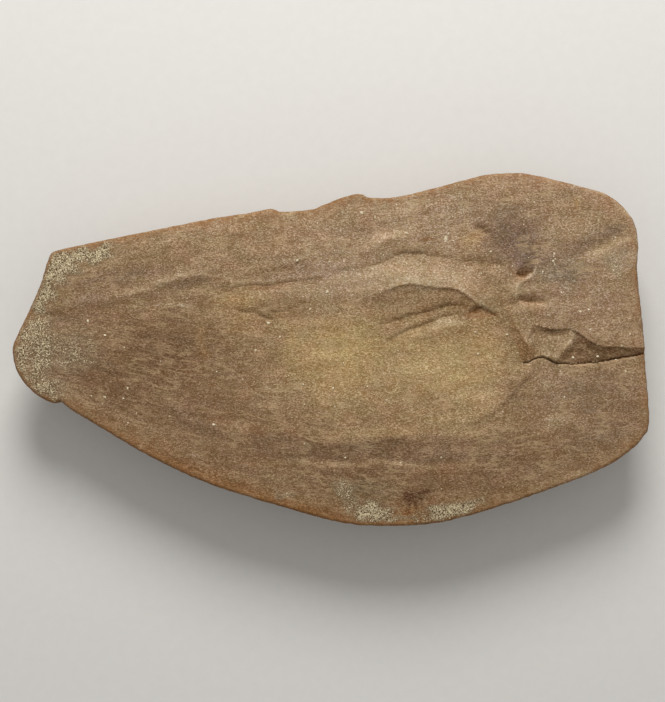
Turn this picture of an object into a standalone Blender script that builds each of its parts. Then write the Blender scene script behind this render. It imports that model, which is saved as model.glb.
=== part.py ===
"""Half of a split ironstone concretion with the low, oval impression of a soft body on its split face.

Metres, +Z up. The stone lies on its convex back with the split face up. +X runs from the rounded nose
to the blunt broken end, and +Y from the natural curved rim to the straight broken side. The origin is
under the middle of its plan, on the surface that it rests on.
"""

from collections import namedtuple
from itertools import combinations

import bmesh
import bpy
import numpy as np
from mathutils import Vector, noise
from mathutils.geometry import delaunay_2d_cdt

# Driving dimensions, in metres
LENGTH = 0.150  # nose to blunt end; every plan point and relief height scales with it
THICKNESS = 0.018  # resting patch to the level of the split face
REST_PATCH = (0.034, 0.016)  # half-length and half-width of the flat patch on the back
RIM_WALL = 0.0016  # thickness of the natural rim before the back curves under
BREAK_WALL = 0.0075  # height of the broken sides
RIM_ROUND = 0.0007  # rounding where the face meets a side

# Mesh spacing, in metres
RIM_STEP = 0.0021
LINE_STEP = 0.0019
FINE_STEP = 0.0010  # between points beside a crease
COARSE_STEP = 0.0025  # between points on the plain face
FINE_REACH = 0.009  # distance over which the one grows to the other
FILLING_TRIES = 30000  # places tried for those points
FILLING_SEED = 4
RIM_SPACING = 0.9  # least room along the rim, in roundings of the rim
RIM_MARGIN = 1.5  # how far inside the rim the creases stop, in roundings of the rim

# One millimetre of a 150 mm stone. The points and heights below are in these millimetres.
MM = LENGTH / 150

# ---- Outline, anticlockwise from the top of the nose. Each stretch is a smooth curve between corners.
NOSE = [
    (-66.8, 20.6), (-69.1, 13.5), (-73.5, 4.2), (-75.0, 0.0), (-74.1, -4.8), (-71.2, -9.1),
    (-67.9, -11.6), (-65.1, -12.7), (-63.7, -12.2),
]
BELLY = [
    (-63.7, -12.2), (-61.2, -14.2), (-55.3, -17.8), (-43.5, -24.8), (-29.9, -31.2), (-14.3, -36.3),
    (2.1, -40.8), (12.5, -41.6), (25.6, -40.8), (40.7, -36.7), (57.6, -30.7), (66.1, -26.9),
    (71.7, -22.8), (74.5, -19.4),
]
BLUNT_END = [
    (74.5, -19.4), (75.0, -17.0), (74.8, -11.5), (74.2, -3.9), (73.7, 3.6), (72.8, 11.5),
    (72.1, 18.5), (72.4, 24.6), (71.9, 28.3),
]
SHOULDER = [(71.9, 28.3), (70.6, 31.4), (67.4, 34.8), (63.9, 37.0)]
STRAIGHT_SIDE = [
    (63.9, 37.0), (54.8, 39.4), (46.4, 41.3), (41.2, 41.5), (35.0, 40.8), (24.4, 38.0), (15.4, 35.9),
    (9.0, 35.8), (7.4, 36.6), (4.0, 36.2), (-1.6, 34.1), (-4.5, 33.0), (-8.5, 32.6), (-12.0, 32.5),
    (-14.2, 33.1), (-18.6, 32.3), (-27.0, 31.0), (-41.1, 28.2), (-52.4, 25.9), (-63.7, 23.5),
    (-65.8, 22.6), (-66.8, 20.6),
]
BROKEN = (BLUNT_END, SHOULDER, STRAIGHT_SIDE)

# ---- Relief. A fold follows a curve of (x, y, height) points, and a negative height is a groove.
# It dies away over the reach on each side: left and right as one travels along the curve.
Fold = namedtuple("Fold", "points left right sharpness", defaults=(1.6,))
FOLDS = {
    "flank_crest": Fold(
        [(-54.3, 11.9, 0), (-50.8, 12.6, 0.2), (-46.3, 13.6, 0.3), (-41.8, 14.7, 0.3),
         (-38.3, 16.1, 0.35), (-34.8, 17.4, 0.4), (-31.7, 17.9, 0.4), (-28.4, 17.8, 0.3),
         (-22.0, 17.2, 0)], 3.4, 1.4),
    "flank_groove": Fold(
        [(-68.2, 7.4, 0), (-63.7, 8.1, -0.2), (-57.8, 9.1, -0.25), (-52.0, 10.3, -0.3),
         (-45.8, 11.1, -0.3), (-42.6, 11.7, -0.3), (-39.5, 13.0, -0.3), (-36.2, 14.3, -0.3),
         (-33.1, 15.0, -0.25), (-29.9, 15.2, -0.2), (-27.0, 15.2, 0)], 2.4, 3.2),
    "neck_line": Fold(
        [(-29.4, 13.8, 0), (-26.9, 14.2, -0.25), (-21.4, 14.8, -0.4), (-17.9, 15.2, -0.4),
         (-13.6, 15.1, -0.35), (-10.4, 15.8, -0.4), (-6.5, 16.3, -0.35), (-3.4, 16.8, -0.2),
         (-1.0, 17.2, 0)], 0.5, 2.6, 1.2),
    "upper_ledge": Fold(
        [(-7.3, 14.7, 0), (-3.5, 15.9, -0.2), (0.5, 17.4, -0.25), (2.4, 18.4, -0.35),
         (4.5, 18.8, -0.4), (7.1, 19.2, -0.3), (9.9, 19.6, -0.35), (12.2, 20.3, -0.45),
         (13.6, 21.0, -0.6), (15.3, 22.0, -0.8), (16.7, 22.7, -1.0), (17.9, 22.9, -1.0),
         (19.7, 22.5, -1.0), (21.4, 22.3, -0.9), (23.3, 21.9, -0.7), (25.6, 21.6, -0.45),
         (28.2, 21.0, -0.25), (30.8, 20.8, -0.3), (33.4, 20.6, -0.4), (36.8, 20.4, -0.45),
         (39.7, 20.1, -0.45), (41.4, 19.3, 0)], 0.75, 3.0, 1.3),
    "high_ledge": Fold(
        [(-21.4, 17.6, 0), (-18.1, 18.2, 0.2), (-14.8, 19.4, 0.35), (-11.5, 20.2, 0.4),
         (-8.7, 20.9, 0.4), (-6.1, 21.5, 0.35), (-3.1, 22.3, 0)], 3.0, 1.1),
    "oval_shoulder": Fold(
        [(4.9, 10.9, 0), (7.1, 11.9, 0.3), (9.6, 12.8, 0.5), (11.9, 13.7, 0.7), (15.4, 14.8, 0.85),
         (18.2, 15.4, 0.9), (21.3, 15.2, 0.95), (23.5, 14.9, 0.95), (25.6, 14.6, 0.95),
         (28.2, 14.6, 0.95), (30.0, 14.0, 0.95), (32.3, 12.6, 0.95), (34.6, 10.7, 0.9),
         (36.6, 9.3, 0.75), (38.2, 8.5, 0.5), (39.3, 8.8, 0.4), (40.5, 9.4, 0.3),
         (41.6, 10.1, 0.15), (42.3, 10.9, 0)], 4.6, 3.2, 1.0),
    "shoulder_step": Fold(
        [(11.9, 13.3, 0), (15.4, 14.4, -0.1), (18.2, 15.0, -0.2), (21.3, 14.8, -0.2),
         (24.0, 14.4, -0.25), (27.0, 14.2, -0.25), (30.0, 13.5, -0.25), (32.3, 12.0, -0.2),
         (34.6, 10.2, 0)], 0.3, 1.5, 1.2),
    "inner_fold": Fold(
        [(9.5, 5.2, 0), (12.7, 6.1, -0.25), (15.4, 6.9, -0.4), (18.2, 7.8, -0.5), (21.3, 8.7, -0.55),
         (23.3, 9.3, -0.6), (26.0, 10.1, -0.6), (28.8, 10.5, -0.5), (31.1, 10.3, -0.3),
         (32.7, 9.6, 0)], 0.55, 1.9, 1.3),
    "cave": Fold(
        [(31.6, 8.4, 0), (32.7, 8.8, -0.4), (33.6, 9.1, -0.7), (34.3, 9.5, -0.85), (35.3, 9.8, -0.9),
         (36.4, 9.3, -0.9), (37.4, 8.7, -0.8), (38.3, 8.0, -0.5), (39.3, 7.6, 0)], 0.6, 1.7),
    "lower_fold": Fold(
        [(12.0, 0.6, 0), (13.6, 1.8, -0.35), (15.0, 2.7, -0.45), (16.2, 3.5, -0.5),
         (18.6, 4.6, -0.55), (22.1, 5.9, -0.6), (24.2, 6.7, -0.6), (26.0, 7.4, -0.5),
         (28.8, 8.2, -0.35), (30.8, 8.7, 0)], 0.55, 1.7, 1.3),
    "fold_lip": Fold(
        [(15.0, 0.8, 0), (21.9, 4.0, 0.3), (29.2, 5.6, 0.4), (33.5, 5.4, 0)], 1.5, 3.2),
    "oval_end_wall": Fold(
        [(41.5, 10.4, 0), (42.5, 7.6, 0.7), (43.5, 5.4, 1.0), (44.8, 3.2, 1.1), (45.9, 1.4, 1.1),
         (47.0, -0.4, 0.8), (47.9, -2.2, 0)], 2.2, 1.7, 1.1),
    "oval_end_lip": Fold(
        [(46.8, -3.4, 0), (46.5, -5.5, 0.6), (44.4, -7.6, 0.75), (42.9, -9.1, 0.75),
         (41.3, -11.4, 0.65), (39.7, -12.8, 0.6), (37.6, -14.7, 0.5), (33.9, -16.8, 0.35),
         (29.2, -17.5, 0)], 0.75, 3.2),
    "body_lower_edge": Fold(
        [(-42.6, -7.2, 0), (-39.5, -10.7, 0.25), (-37.4, -13.0, 0.4), (-35.5, -14.6, 0.5),
         (-33.5, -16.3, 0.5), (-30.8, -17.3, 0.5), (-27.7, -18.5, 0.5), (-23.0, -19.6, 0.5),
         (-19.0, -20.0, 0.55), (-14.3, -20.3, 0.6), (-9.6, -20.7, 0.6), (-6.1, -21.2, 0.65),
         (-3.1, -22.0, 0.65), (-0.2, -22.7, 0.6), (3.1, -22.2, 0.65), (7.3, -21.5, 0.7),
         (11.5, -21.2, 0.65), (15.5, -20.9, 0.6), (19.7, -21.3, 0.55), (24.5, -21.5, 0.4),
         (29.2, -21.3, 0)], 3.2, 1.7, 1.2),
    "lower_groove": Fold(
        [(-24.9, -24.1, 0), (-20.2, -25.7, -0.15), (-14.3, -26.4, -0.15), (-7.3, -25.9, -0.2),
         (-3.1, -26.3, -0.2), (3.1, -26.8, -0.2), (6.8, -26.9, -0.2), (8.7, -26.3, -0.2),
         (10.6, -25.7, -0.2), (14.8, -26.2, -0.2), (18.6, -27.4, -0.2), (23.3, -27.2, -0.2),
         (28.0, -26.8, -0.15), (32.7, -26.2, 0)], 1.9, 0.6),
    "nose_groove": Fold(
        [(-58.1, -5.3, 0), (-56.2, -4.6, -0.25), (-54.3, -5.1, -0.35), (-52.7, -6.0, -0.3),
         (-50.1, -6.6, -0.3), (-47.7, -6.5, -0.3), (-45.8, -7.4, 0)], 0.9, 2.0),
    "nose_crease": Fold(
        [(-71.7, 9.5, 0), (-69.6, 8.8, -0.3), (-66.5, 8.1, -0.35), (-63.7, 7.4, -0.3),
         (-60.9, 6.5, 0)], 0.9, 1.5),
    "nose_ridge": Fold(
        [(-59.5, 3.6, 0), (-58.1, 3.3, 0.2), (-56.4, 3.8, 0.25), (-55.0, 4.3, 0)], 1.0, 0.6),
    "middle_ledge": Fold(
        [(-29.4, 9.5, 0), (-26.9, 9.9, -0.35), (-23.7, 9.6, -0.35), (-20.6, 8.8, -0.4),
         (-17.9, 8.6, -0.5), (-16.7, 7.9, -0.7), (-15.1, 7.3, -0.8), (-14.3, 8.5, -0.5),
         (-11.2, 8.9, -0.35), (-8.9, 9.8, -0.3), (-5.9, 10.9, -0.25), (-2.1, 12.6, 0)], 0.7, 2.2, 1.3),
    "pit": Fold(
        [(43.2, 17.9, 0), (44.0, 17.5, -1.1), (45.2, 17.4, -1.7), (46.4, 17.9, -1.5),
         (47.2, 18.7, -0.8), (47.8, 19.6, 0)], 1.5, 0.45, 1.3),
    "pit_ridge": Fold(
        [(49.3, 20.9, 0), (48.7, 20.3, 0.3), (48.0, 19.3, 0.6), (46.9, 17.4, 0.7), (45.3, 16.3, 0.7),
         (44.2, 15.6, 0.7), (43.3, 14.6, 0.7), (43.1, 12.8, 0.5), (41.8, 11.8, 0)], 1.1, 1.2, 1.2),
    "brow": Fold(
        [(43.4, 11.7, 0), (44.8, 11.4, -0.8), (46.6, 11.2, -1.05), (48.9, 11.1, -0.95),
         (50.4, 11.0, -0.6), (51.6, 10.8, 0)], 1.4, 0.6, 1.3),
    "corner_groove": Fold(
        [(49.6, 20.7, 0), (51.6, 20.8, -0.2), (54.5, 21.2, -0.35), (57.4, 22.2, -0.4),
         (60.1, 23.1, -0.45), (62.5, 24.0, -0.45), (64.8, 25.2, -0.45), (67.2, 26.7, -0.4),
         (70.5, 28.6, 0)], 1.8, 1.6),
    "side_nick": Fold(
        [(33.6, 29.0, 0), (34.6, 28.7, -0.7), (36.0, 28.1, -0.8), (37.1, 27.2, -0.5),
         (39.0, 25.0, -0.3), (39.9, 22.8, 0)], 0.9, 1.2),
    "eyelid": Fold(
        [(7.3, 21.5, 0), (9.2, 23.4, 0.3), (12.7, 25.5, 0.4), (16.2, 26.2, 0.25),
         (19.0, 25.7, 0)], 1.4, 1.2),
    "flaked_edge": Fold(
        [(4.5, 35.1, 0), (4.9, 33.5, -0.2), (5.9, 31.9, -0.3), (5.2, 29.5, -0.3), (6.1, 27.4, -0.3),
         (7.3, 26.2, 0)], 2.6, 0.5),
}

STEEP = 0.7  # a fold's side with less reach than this gets its own line in the mesh
FOOT = 1.3  # where a fold's slope runs out, in reaches

# The crack runs from the oval to the blunt end. The slab below it has dropped.
CRACK = [
    (44.9, -3.3, 0), (45.6, -3.2, -0.5), (46.6, -2.9, -0.7), (48.0, -2.2, -0.9), (49.8, -1.9, -1.0),
    (51.2, -2.2, -1.0), (52.6, -2.8, -1.0), (54.5, -3.2, -1.1), (56.7, -3.3, -1.2),
    (59.3, -3.3, -1.2), (63.1, -2.9, -1.1), (67.4, -2.1, -1.0), (72.3, -1.2, -0.9),
    (74.6, -0.8, -0.8),
]
CRACK_WIDTH = 0.4
SLAB_DROP = Fold(CRACK, 0.2, 9.0)
CRACK_CUT = Fold(CRACK, CRACK_WIDTH / 2, CRACK_WIDTH / 2)

# Broken facets above the crack, each a triangle of corners on the face: x, y and height.
CORNERS = {
    "edge0": (47.3, 6.1, 0), "edge1": (49.1, 5.5, -0.15), "edge2": (51.6, 4.8, -0.3),
    "edge3": (53.9, 4.6, -0.25), "edge4": (56.1, 4.8, -0.2), "edge5": (58.0, 4.0, -0.35),
    "edge6": (60.4, 2.3, -0.35), "edge7": (62.2, 1.2, -0.3), "edge8": (64.7, 0.45, -0.3),
    "edge9": (68.8, 0.4, -0.2), "edge10": (75.4, 0.4, -0.15),
    "foot0": (47.6, 4.1, -0.75), "foot1": (50.6, 3.6, -0.8), "foot2": (53.2, 3.4, -0.7),
    "foot3": (55.6, 3.4, -0.35), "west": (45.8, 2.2, 0.1), "gully": (48.5, -0.6, -0.95),
    "ridge1": (56.3, 2.0, -0.15), "ridge2": (54.8, -0.1, -0.15), "hollow1": (58.4, 1.9, -0.65),
    "hollow2": (62.6, -0.6, -0.85), "hollow3": (69.5, -0.4, -0.6),
    "lip0": (44.9, -3.2, 0), "lip1": (47.8, -2.2, -0.8), "lip2": (49.8, -1.8, -0.45),
    "lip3": (52.6, -2.7, -0.1), "lip4": (54.6, -3.1, -1.1), "lip5": (59.3, -3.2, -1.6),
    "lip6": (65.7, -2.4, -1.45), "lip7": (75.4, -0.7, -1.0),
}
FACETS = """
edge0 edge1 foot0, edge1 foot1 foot0, edge1 edge2 foot1, edge2 foot2 foot1, edge2 edge3 foot2,
edge3 foot3 foot2, edge3 edge4 foot3, edge0 foot0 west, west foot0 gully, west gully lip0,
lip0 gully lip1, gully lip2 lip1, foot0 foot1 gully, foot1 lip2 gully, foot1 foot2 lip2,
foot2 ridge2 lip2, foot2 foot3 ridge2, lip2 ridge2 lip3, foot3 ridge1 ridge2, foot3 edge4 ridge1,
edge4 edge5 ridge1, edge5 hollow1 ridge1, ridge1 hollow1 ridge2, ridge2 hollow1 lip4,
ridge2 lip4 lip3, edge5 edge6 hollow1, hollow1 edge6 hollow2, edge6 edge7 hollow2,
edge7 edge8 hollow2, hollow1 hollow2 lip5, hollow1 lip5 lip4, edge8 hollow3 hollow2,
edge8 edge9 hollow3, edge9 edge10 hollow3, edge10 lip7 hollow3, hollow2 lip6 lip5,
hollow2 hollow3 lip6, hollow3 lip7 lip6
"""

CHIP_EDGE = "edge0 edge1 edge2 edge3 edge4 edge5 edge6 edge7 edge8 edge9 edge10"
CHIP_STEP = 0.35  # width of the small step down to the facets from this edge

# Shallow hollows and low swells: centre, half-length, half-width, height.
Bowl = namedtuple("Bowl", "x y half_length half_width height")
BOWLS = {
    "body_hollow": Bowl(-3.0, -2.5, 50.0, 18.5, -0.9),
    "oval_hollow": Bowl(26.5, -4.5, 20.5, 14.5, -0.8),
    "corner_swell": Bowl(57.0, 17.0, 17.0, 13.0, 0.5),
    "side_swell": Bowl(-22.0, 25.0, 34.0, 6.0, 0.35),
    "edge_pit": Bowl(12.0, 28.6, 1.4, 1.2, -0.5),
    "belly_swell": Bowl(6.0, -32.5, 42.0, 6.0, 0.4),
}

BOWL_FLATNESS = 1.7

RIM_DIP = 0.5  # how far the face falls towards the rim
RIM_DIP_REACH = 5.0

# Smooth irregular lumps: how wide and how high they are, and the seed of their pattern.
Lumps = namedtuple("Lumps", "size height seed")
SWELL = Lumps(22.0, 0.35, 3.7)  # the broad undulation of the face
BACK_LUMPS = Lumps(19.0, 0.9, 5.1)
HACKLES = Lumps(6.0, 0.8, 8.2)  # roughness of the broken sides
HACKLE_RISE = 40.0  # how much its pattern changes from the foot of a side to its top
BEDS = Lumps(9.0, 0.5, 3.3)  # how far one bed of the broken sides stands out from the next

# ---- Sides and back
WALL_RINGS = 5
BACK_RINGS = (0.03, 0.10, 0.22, 0.38, 0.57, 0.78, 1.0)  # fractions of the way in to the resting patch
BREAK_LEAN = 0.6  # how far the foot of a broken side lies inside its top
BREAK_BLEND = 9.0  # length over which a broken side becomes a natural rim
BACK_SMOOTHING = 40.0  # length of rim over which the back rounds off the outline's corners
SMOOTHED_BY = 0.25  # fraction of the way in at which that is complete

IRONSTONE = (0.305, 0.200, 0.115, 1.0)
ROUGHNESS = 0.9
SHARP_ANGLE = 0.6  # radians between two faces that meet in a visible edge

ON_EDGE = -1e-6  # a share of a triangle's corner this small still counts as inside
SAME_POINT = 1e-5


def smooth_curve(points, per_span=5):
    """A Catmull-Rom curve through rows of numbers, which starts and ends on the first and last row."""
    rows = np.array(points, float)
    rows = np.vstack([2 * rows[0] - rows[1], rows, 2 * rows[-1] - rows[-2]])
    t = (np.arange(per_span) / per_span)[:, None]
    spans = []
    for a, b, c, d in zip(rows, rows[1:], rows[2:], rows[3:]):
        cubic = 3 * b - a - 3 * c + d
        square = 2 * a - 5 * b + 4 * c - d
        spans.append(0.5 * (2 * b + (c - a) * t + square * t**2 + cubic * t**3))
    return np.vstack(spans + [rows[-2:-1]])


def even_steps(line, step):
    """The line resampled to equal steps as near as possible to this one, with both ends kept."""
    run = np.hypot(*np.diff(line[:, :2], axis=0).T)
    at = np.concatenate([[0], np.cumsum(run)])
    count = max(2, round(at[-1] / step) + 1)
    wanted = np.linspace(0, at[-1], count)
    return np.column_stack([np.interp(wanted, at, column) for column in line.T])


def moved_left(line, distance, closed=False):
    """The line moved sideways, to the left as one travels along it."""
    if closed:
        along = np.roll(line, -1, axis=0) - np.roll(line, 1, axis=0)
    else:
        along = np.gradient(line, axis=0)
    across = np.column_stack([-along[:, 1], along[:, 0]])
    return line + distance * across / np.hypot(*along.T)[:, None]


def beside(line, plan):
    """Each point's distance from the line, signed positive on its left, and the line's value there."""
    nearest = np.full(len(plan), np.inf)
    signed = np.zeros(len(plan))
    value = np.zeros(len(plan))
    for a, b in zip(line, line[1:]):
        along = b - a
        t = np.clip((plan - a[:2]) @ along[:2] / (along[:2] @ along[:2]), 0, 1)
        off = plan - a[:2] - t[:, None] * along[:2]
        distance = np.hypot(off[:, 0], off[:, 1])
        closer = distance < nearest
        left = along[0] * off[:, 1] - along[1] * off[:, 0] >= 0
        nearest[closer] = distance[closer]
        signed[closer] = np.where(left, distance, -distance)[closer]
        if line.shape[1] > 2:
            value[closer] = (a[2] + t * along[2])[closer]
    return signed, value


def rim_distance(rim, plan):
    return np.abs(beside(np.vstack([rim, rim[:1]]), plan)[0])


def fold_height(fold, plan):
    signed, height = beside(smooth_curve(fold.points), plan)
    reach = np.where(signed > 0, fold.left, fold.right)
    return height * np.exp(-((np.abs(signed) / reach) ** fold.sharpness))


def bowl_height(bowl, plan):
    """Flat-floored, with sides that ease into the face."""
    along = (plan[:, 0] - bowl.x) / bowl.half_length
    across = (plan[:, 1] - bowl.y) / bowl.half_width
    return bowl.height * np.exp(-((along**2 + across**2) ** BOWL_FLATNESS))


def lump(lumps, x, y):
    """The height of the lumps at one place, up or down."""
    return lumps.height * noise.noise(Vector((x / lumps.size, y / lumps.size, lumps.seed)))


def facets():
    """The three corner names of each broken facet."""
    return [names.split() for names in FACETS.split(",")]


def chip_height(plan):
    """The height of the broken facets' planes, and which points lie on them."""
    height = np.zeros(len(plan))
    chipped = np.zeros(len(plan), bool)
    for names in facets():
        a, b, c = (np.array(CORNERS[name]) for name in names)
        sides = np.array([a[:2] - c[:2], b[:2] - c[:2]]).T
        u, v = np.linalg.solve(sides, (plan - c[:2]).T)
        inside = (np.minimum(np.minimum(u, v), 1 - u - v) > ON_EDGE) & ~chipped
        height[inside] = (u * a[2] + v * b[2] + (1 - u - v) * c[2])[inside]
        chipped |= inside
    return height, chipped


def face_height(plan, rim):
    """The relief of the split face above its general level, in millimetres."""
    inward = rim_distance(rim, plan)
    height = -RIM_DIP * np.exp(-inward / RIM_DIP_REACH)
    height += np.array([lump(SWELL, x, y) for x, y in plan])
    for bowl in BOWLS.values():
        height += bowl_height(bowl, plan)
    for fold in (*FOLDS.values(), SLAB_DROP):
        height += fold_height(fold, plan)
    chip, chipped = chip_height(plan)
    height += np.where(chipped, chip, fold_height(CRACK_CUT, plan))
    rounding = RIM_ROUND / MM
    short = np.clip(1 - inward / rounding, 0, 1)
    return height - rounding * (1 - np.sqrt(1 - short**2))


def rim_outline():
    """The plan of the stone as one closed ring of points, and how broken each one's side is, 0 to 1."""
    ring = []
    broken = []
    for stretch in (NOSE, BELLY, BLUNT_END, SHOULDER, STRAIGHT_SIDE):
        points = even_steps(smooth_curve(stretch), RIM_STEP / MM)[:-1]
        ring.append(points)
        broken += [float(stretch in BROKEN)] * len(points)
    ring = np.vstack(ring)
    ring -= (ring.max(axis=0) + ring.min(axis=0)) / 2
    return ring, ring_mean(np.array(broken), BREAK_BLEND)


def ring_mean(values, length):
    """Each row's mean with its neighbours along the rim, over this length."""
    spread = round(length * MM / RIM_STEP / 2)
    index = np.arange(len(values))[:, None] + np.arange(-spread, spread + 1)
    return values[index % len(values)].mean(axis=1)


def crease_lines():
    """The lines that the face's mesh has to follow, so that its ledges, crack and chip stay crisp."""
    step = LINE_STEP / MM
    lines = []
    for fold in FOLDS.values():
        crest = even_steps(smooth_curve(fold.points)[:, :2], step)
        lines.append(crest)
        if fold.left < STEEP:
            lines.append(moved_left(crest, fold.left))
        if fold.right < STEEP:
            lines.append(moved_left(crest, -fold.right))
    crack = even_steps(smooth_curve(CRACK)[:, :2], step)
    lines += [crack, moved_left(crack, -CRACK_WIDTH)]
    sides = {tuple(sorted(pair)) for names in facets() for pair in combinations(names, 2)}
    for pair in sorted(sides):
        lines.append(even_steps(np.array([CORNERS[name][:2] for name in pair]), step))
    edge = np.array([CORNERS[name][:2] for name in CHIP_EDGE.split()])
    lines.append(even_steps(edge + (0, CHIP_STEP), step))
    return lines


def fold_feet():
    """Points along both feet of each fold, where its slopes run out into the face."""
    feet = []
    for fold in FOLDS.values():
        crest = even_steps(smooth_curve(fold.points)[:, :2], LINE_STEP / MM)
        feet += [moved_left(crest, FOOT * fold.left), moved_left(crest, -FOOT * fold.right)]
    return np.vstack(feet)


def spread_out(kept, candidates, spacing):
    """The candidates, taken in turn, that keep their own spacing from every point before them."""
    points = np.vstack([kept, np.full_like(candidates, np.inf)])
    count = len(kept)
    for point, room in zip(candidates, spacing):
        off = points[:count] - point
        if np.min(off[:, 0] ** 2 + off[:, 1] ** 2) > room**2:
            points[count] = point
            count += 1
    return points[len(kept) : count]


def inside_rim(plan, rim, margin):
    """Which points lie inside the rim by at least this margin."""
    x, y = plan.T
    crossings = np.zeros(len(plan), int)
    for a, b in zip(rim, np.roll(rim, -1, axis=0)):
        spans = (a[1] > y) != (b[1] > y)
        with np.errstate(divide="ignore", invalid="ignore"):
            crossings += spans & (x < a[0] + (y - a[1]) * (b[0] - a[0]) / (b[1] - a[1]))
    return (crossings % 2 == 1) & (rim_distance(rim, plan) > margin)


def filling_points(kept, creases, rim):
    """Points just inside the rim, at the feet of the folds, and all over the face, thinning out."""
    rounding = RIM_ROUND / MM
    inset = moved_left(rim, rounding, closed=True)
    random = np.random.default_rng(FILLING_SEED)
    anywhere = random.uniform(rim.min(axis=0), rim.max(axis=0), (FILLING_TRIES, 2))
    loose = np.vstack([inset, fold_feet(), anywhere])
    near_rim = np.arange(len(loose)) < len(inset)
    clear = inside_rim(loose, rim, RIM_SPACING * rounding)
    loose = loose[clear]
    near_rim = near_rim[clear]
    away = np.min([np.abs(beside(line, loose)[0]) for line in creases], axis=0)
    share = np.clip(away * MM / FINE_REACH, 0, 1)
    spacing = (FINE_STEP + share * (COARSE_STEP - FINE_STEP)) / MM
    spacing[near_rim] = RIM_SPACING * rounding
    return spread_out(kept, loose, spacing)


def face_mesh(rim):
    """Triangles of the face in plan: the rim, the crease lines, and points that thin out between them."""
    creases = []
    for line in crease_lines():
        line = line[inside_rim(line, rim, RIM_MARGIN * RIM_ROUND / MM)]
        if len(line) > 1:
            creases.append(line)
    count = len(rim)
    edges = [(i, (i + 1) % count) for i in range(count)]
    for line in creases:
        edges += [(count + i, count + i + 1) for i in range(len(line) - 1)]
        count += len(line)
    kept = np.vstack([rim, *creases])
    points = np.vstack([kept, filling_points(kept, creases, rim)])
    flat = [Vector(p) for p in points]
    plan, _, triangles, *_ = delaunay_2d_cdt(flat, edges, [], 1, SAME_POINT)
    return np.array([tuple(p) for p in plan]), triangles


def add_face(bm, rim):
    """Adds the split face, with its relief, and returns the corners round its rim in order."""
    plan, triangles = face_mesh(rim)
    height = THICKNESS / MM + face_height(plan, rim)
    corners = [bm.verts.new((x, y, z)) for (x, y), z in zip(plan, height)]
    for triangle in triangles:
        bm.faces.new([corners[i] for i in triangle])
    border = [edge for edge in bm.edges if edge.is_boundary]
    start = min(border, key=lambda edge: edge.verts[0].co.x)
    loop = [start.verts[0]]
    came_by = start
    while len(loop) < len(border):
        here = loop[-1]
        came_by = next(edge for edge in here.link_edges if edge.is_boundary and edge is not came_by)
        loop.append(came_by.other_vert(here))
    return loop


def side_profile(wall):
    """Rings down the side and under the back, as (fraction of the way in, fraction of the height)."""
    rings = [(0.0, 1 - wall * down) for down in np.linspace(0, 1, WALL_RINGS + 1)[1:]]
    for inward in BACK_RINGS:
        outward = 1 - inward
        rings.append((inward, (1 - wall) * (1 - np.sqrt(1 - outward**2))))
    return rings


def set_back(p, ring, inward, level, broken):
    """How far a side is set back at one place by its hackles, its beds and its lean."""
    hackle = abs(lump(HACKLES, p.x, p.y + HACKLE_RISE * level))
    bed = 0
    if ring < WALL_RINGS:
        bed = max(0, BEDS.height / 2 + lump(BEDS._replace(seed=BEDS.seed * ring), p.x, p.y))
    return broken * (1 - inward) * (hackle + bed + BREAK_LEAN * (1 - level))


def add_side_and_back(bm, loop, rim, broken):
    """Adds ring after ring down from the face's rim, and closes them with the flat resting patch."""
    half_length, half_width = (value / MM for value in REST_PATCH)
    top = [corner.co.copy() for corner in loop]
    nearest = [np.argmin(np.hypot(*(rim - (p.x, p.y)).T)) for p in top]
    gentle = [Vector(p) for p in ring_mean(rim, BACK_SMOOTHING)]
    profiles = []
    for i in nearest:
        profiles.append(side_profile((RIM_WALL + (BREAK_WALL - RIM_WALL) * broken[i]) / THICKNESS))
    above = loop
    for ring in range(len(profiles[0])):
        below = []
        for p, i, profile in zip(top, nearest, profiles):
            inward, level = profile[ring]
            angle = np.arctan2(p.y / half_width, p.x / half_length)
            foot = Vector((half_length * np.cos(angle), half_width * np.sin(angle)))
            plan = p.xy.lerp(gentle[i], min(1, inward / SMOOTHED_BY)).lerp(foot, inward)
            height = level * p.z + lump(BACK_LUMPS, plan.x, plan.y) * 4 * inward * (1 - inward)
            plan -= plan.normalized() * set_back(p, ring, inward, level, broken[i])
            below.append(bm.verts.new((plan.x, plan.y, max(0, height))))
        for i in range(len(loop)):
            j = (i + 1) % len(loop)
            bm.faces.new((above[i], above[j], below[j], below[i]))
        above = below
    bm.faces.new(above)


def ironstone():
    material = bpy.data.materials.new("ironstone")
    material.use_nodes = True
    shader = material.node_tree.nodes["Principled BSDF"]
    shader.inputs["Base Color"].default_value = IRONSTONE
    shader.inputs["Roughness"].default_value = ROUGHNESS
    shader.inputs["Metallic"].default_value = 0.0
    return material


def nodule_half():
    rim, broken = rim_outline()
    bm = bmesh.new()
    loop = add_face(bm, rim)
    add_side_and_back(bm, loop, rim, broken)
    bmesh.ops.recalc_face_normals(bm, faces=bm.faces)
    bmesh.ops.scale(bm, vec=(MM, MM, MM), verts=bm.verts)
    mesh = bpy.data.meshes.new("nodule_half")
    bm.to_mesh(mesh)
    bm.free()
    mesh.shade_smooth()
    mesh.set_sharp_from_angle(angle=SHARP_ANGLE)
    mesh.materials.append(ironstone())
    stone = bpy.data.objects.new("nodule_half", mesh)
    bpy.context.scene.collection.objects.link(stone)


for leftover in list(bpy.data.objects):
    bpy.data.objects.remove(leftover)
nodule_half()
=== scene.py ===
"""The finished look of half of a split ironstone concretion: a fine mesh of its relief, and its skin.

Metres, +Z up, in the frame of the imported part: the stone lies on its convex back with its split face
up, +X to the blunt broken end and +Y to the straight broken side. Plan points and heights below are in
millimetres of a 150 mm stone, and MM turns them into metres.
"""

import math
from collections import namedtuple

import bmesh
import bpy
import numpy as np
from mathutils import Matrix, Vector, noise
from mathutils.geometry import delaunay_2d_cdt


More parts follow.
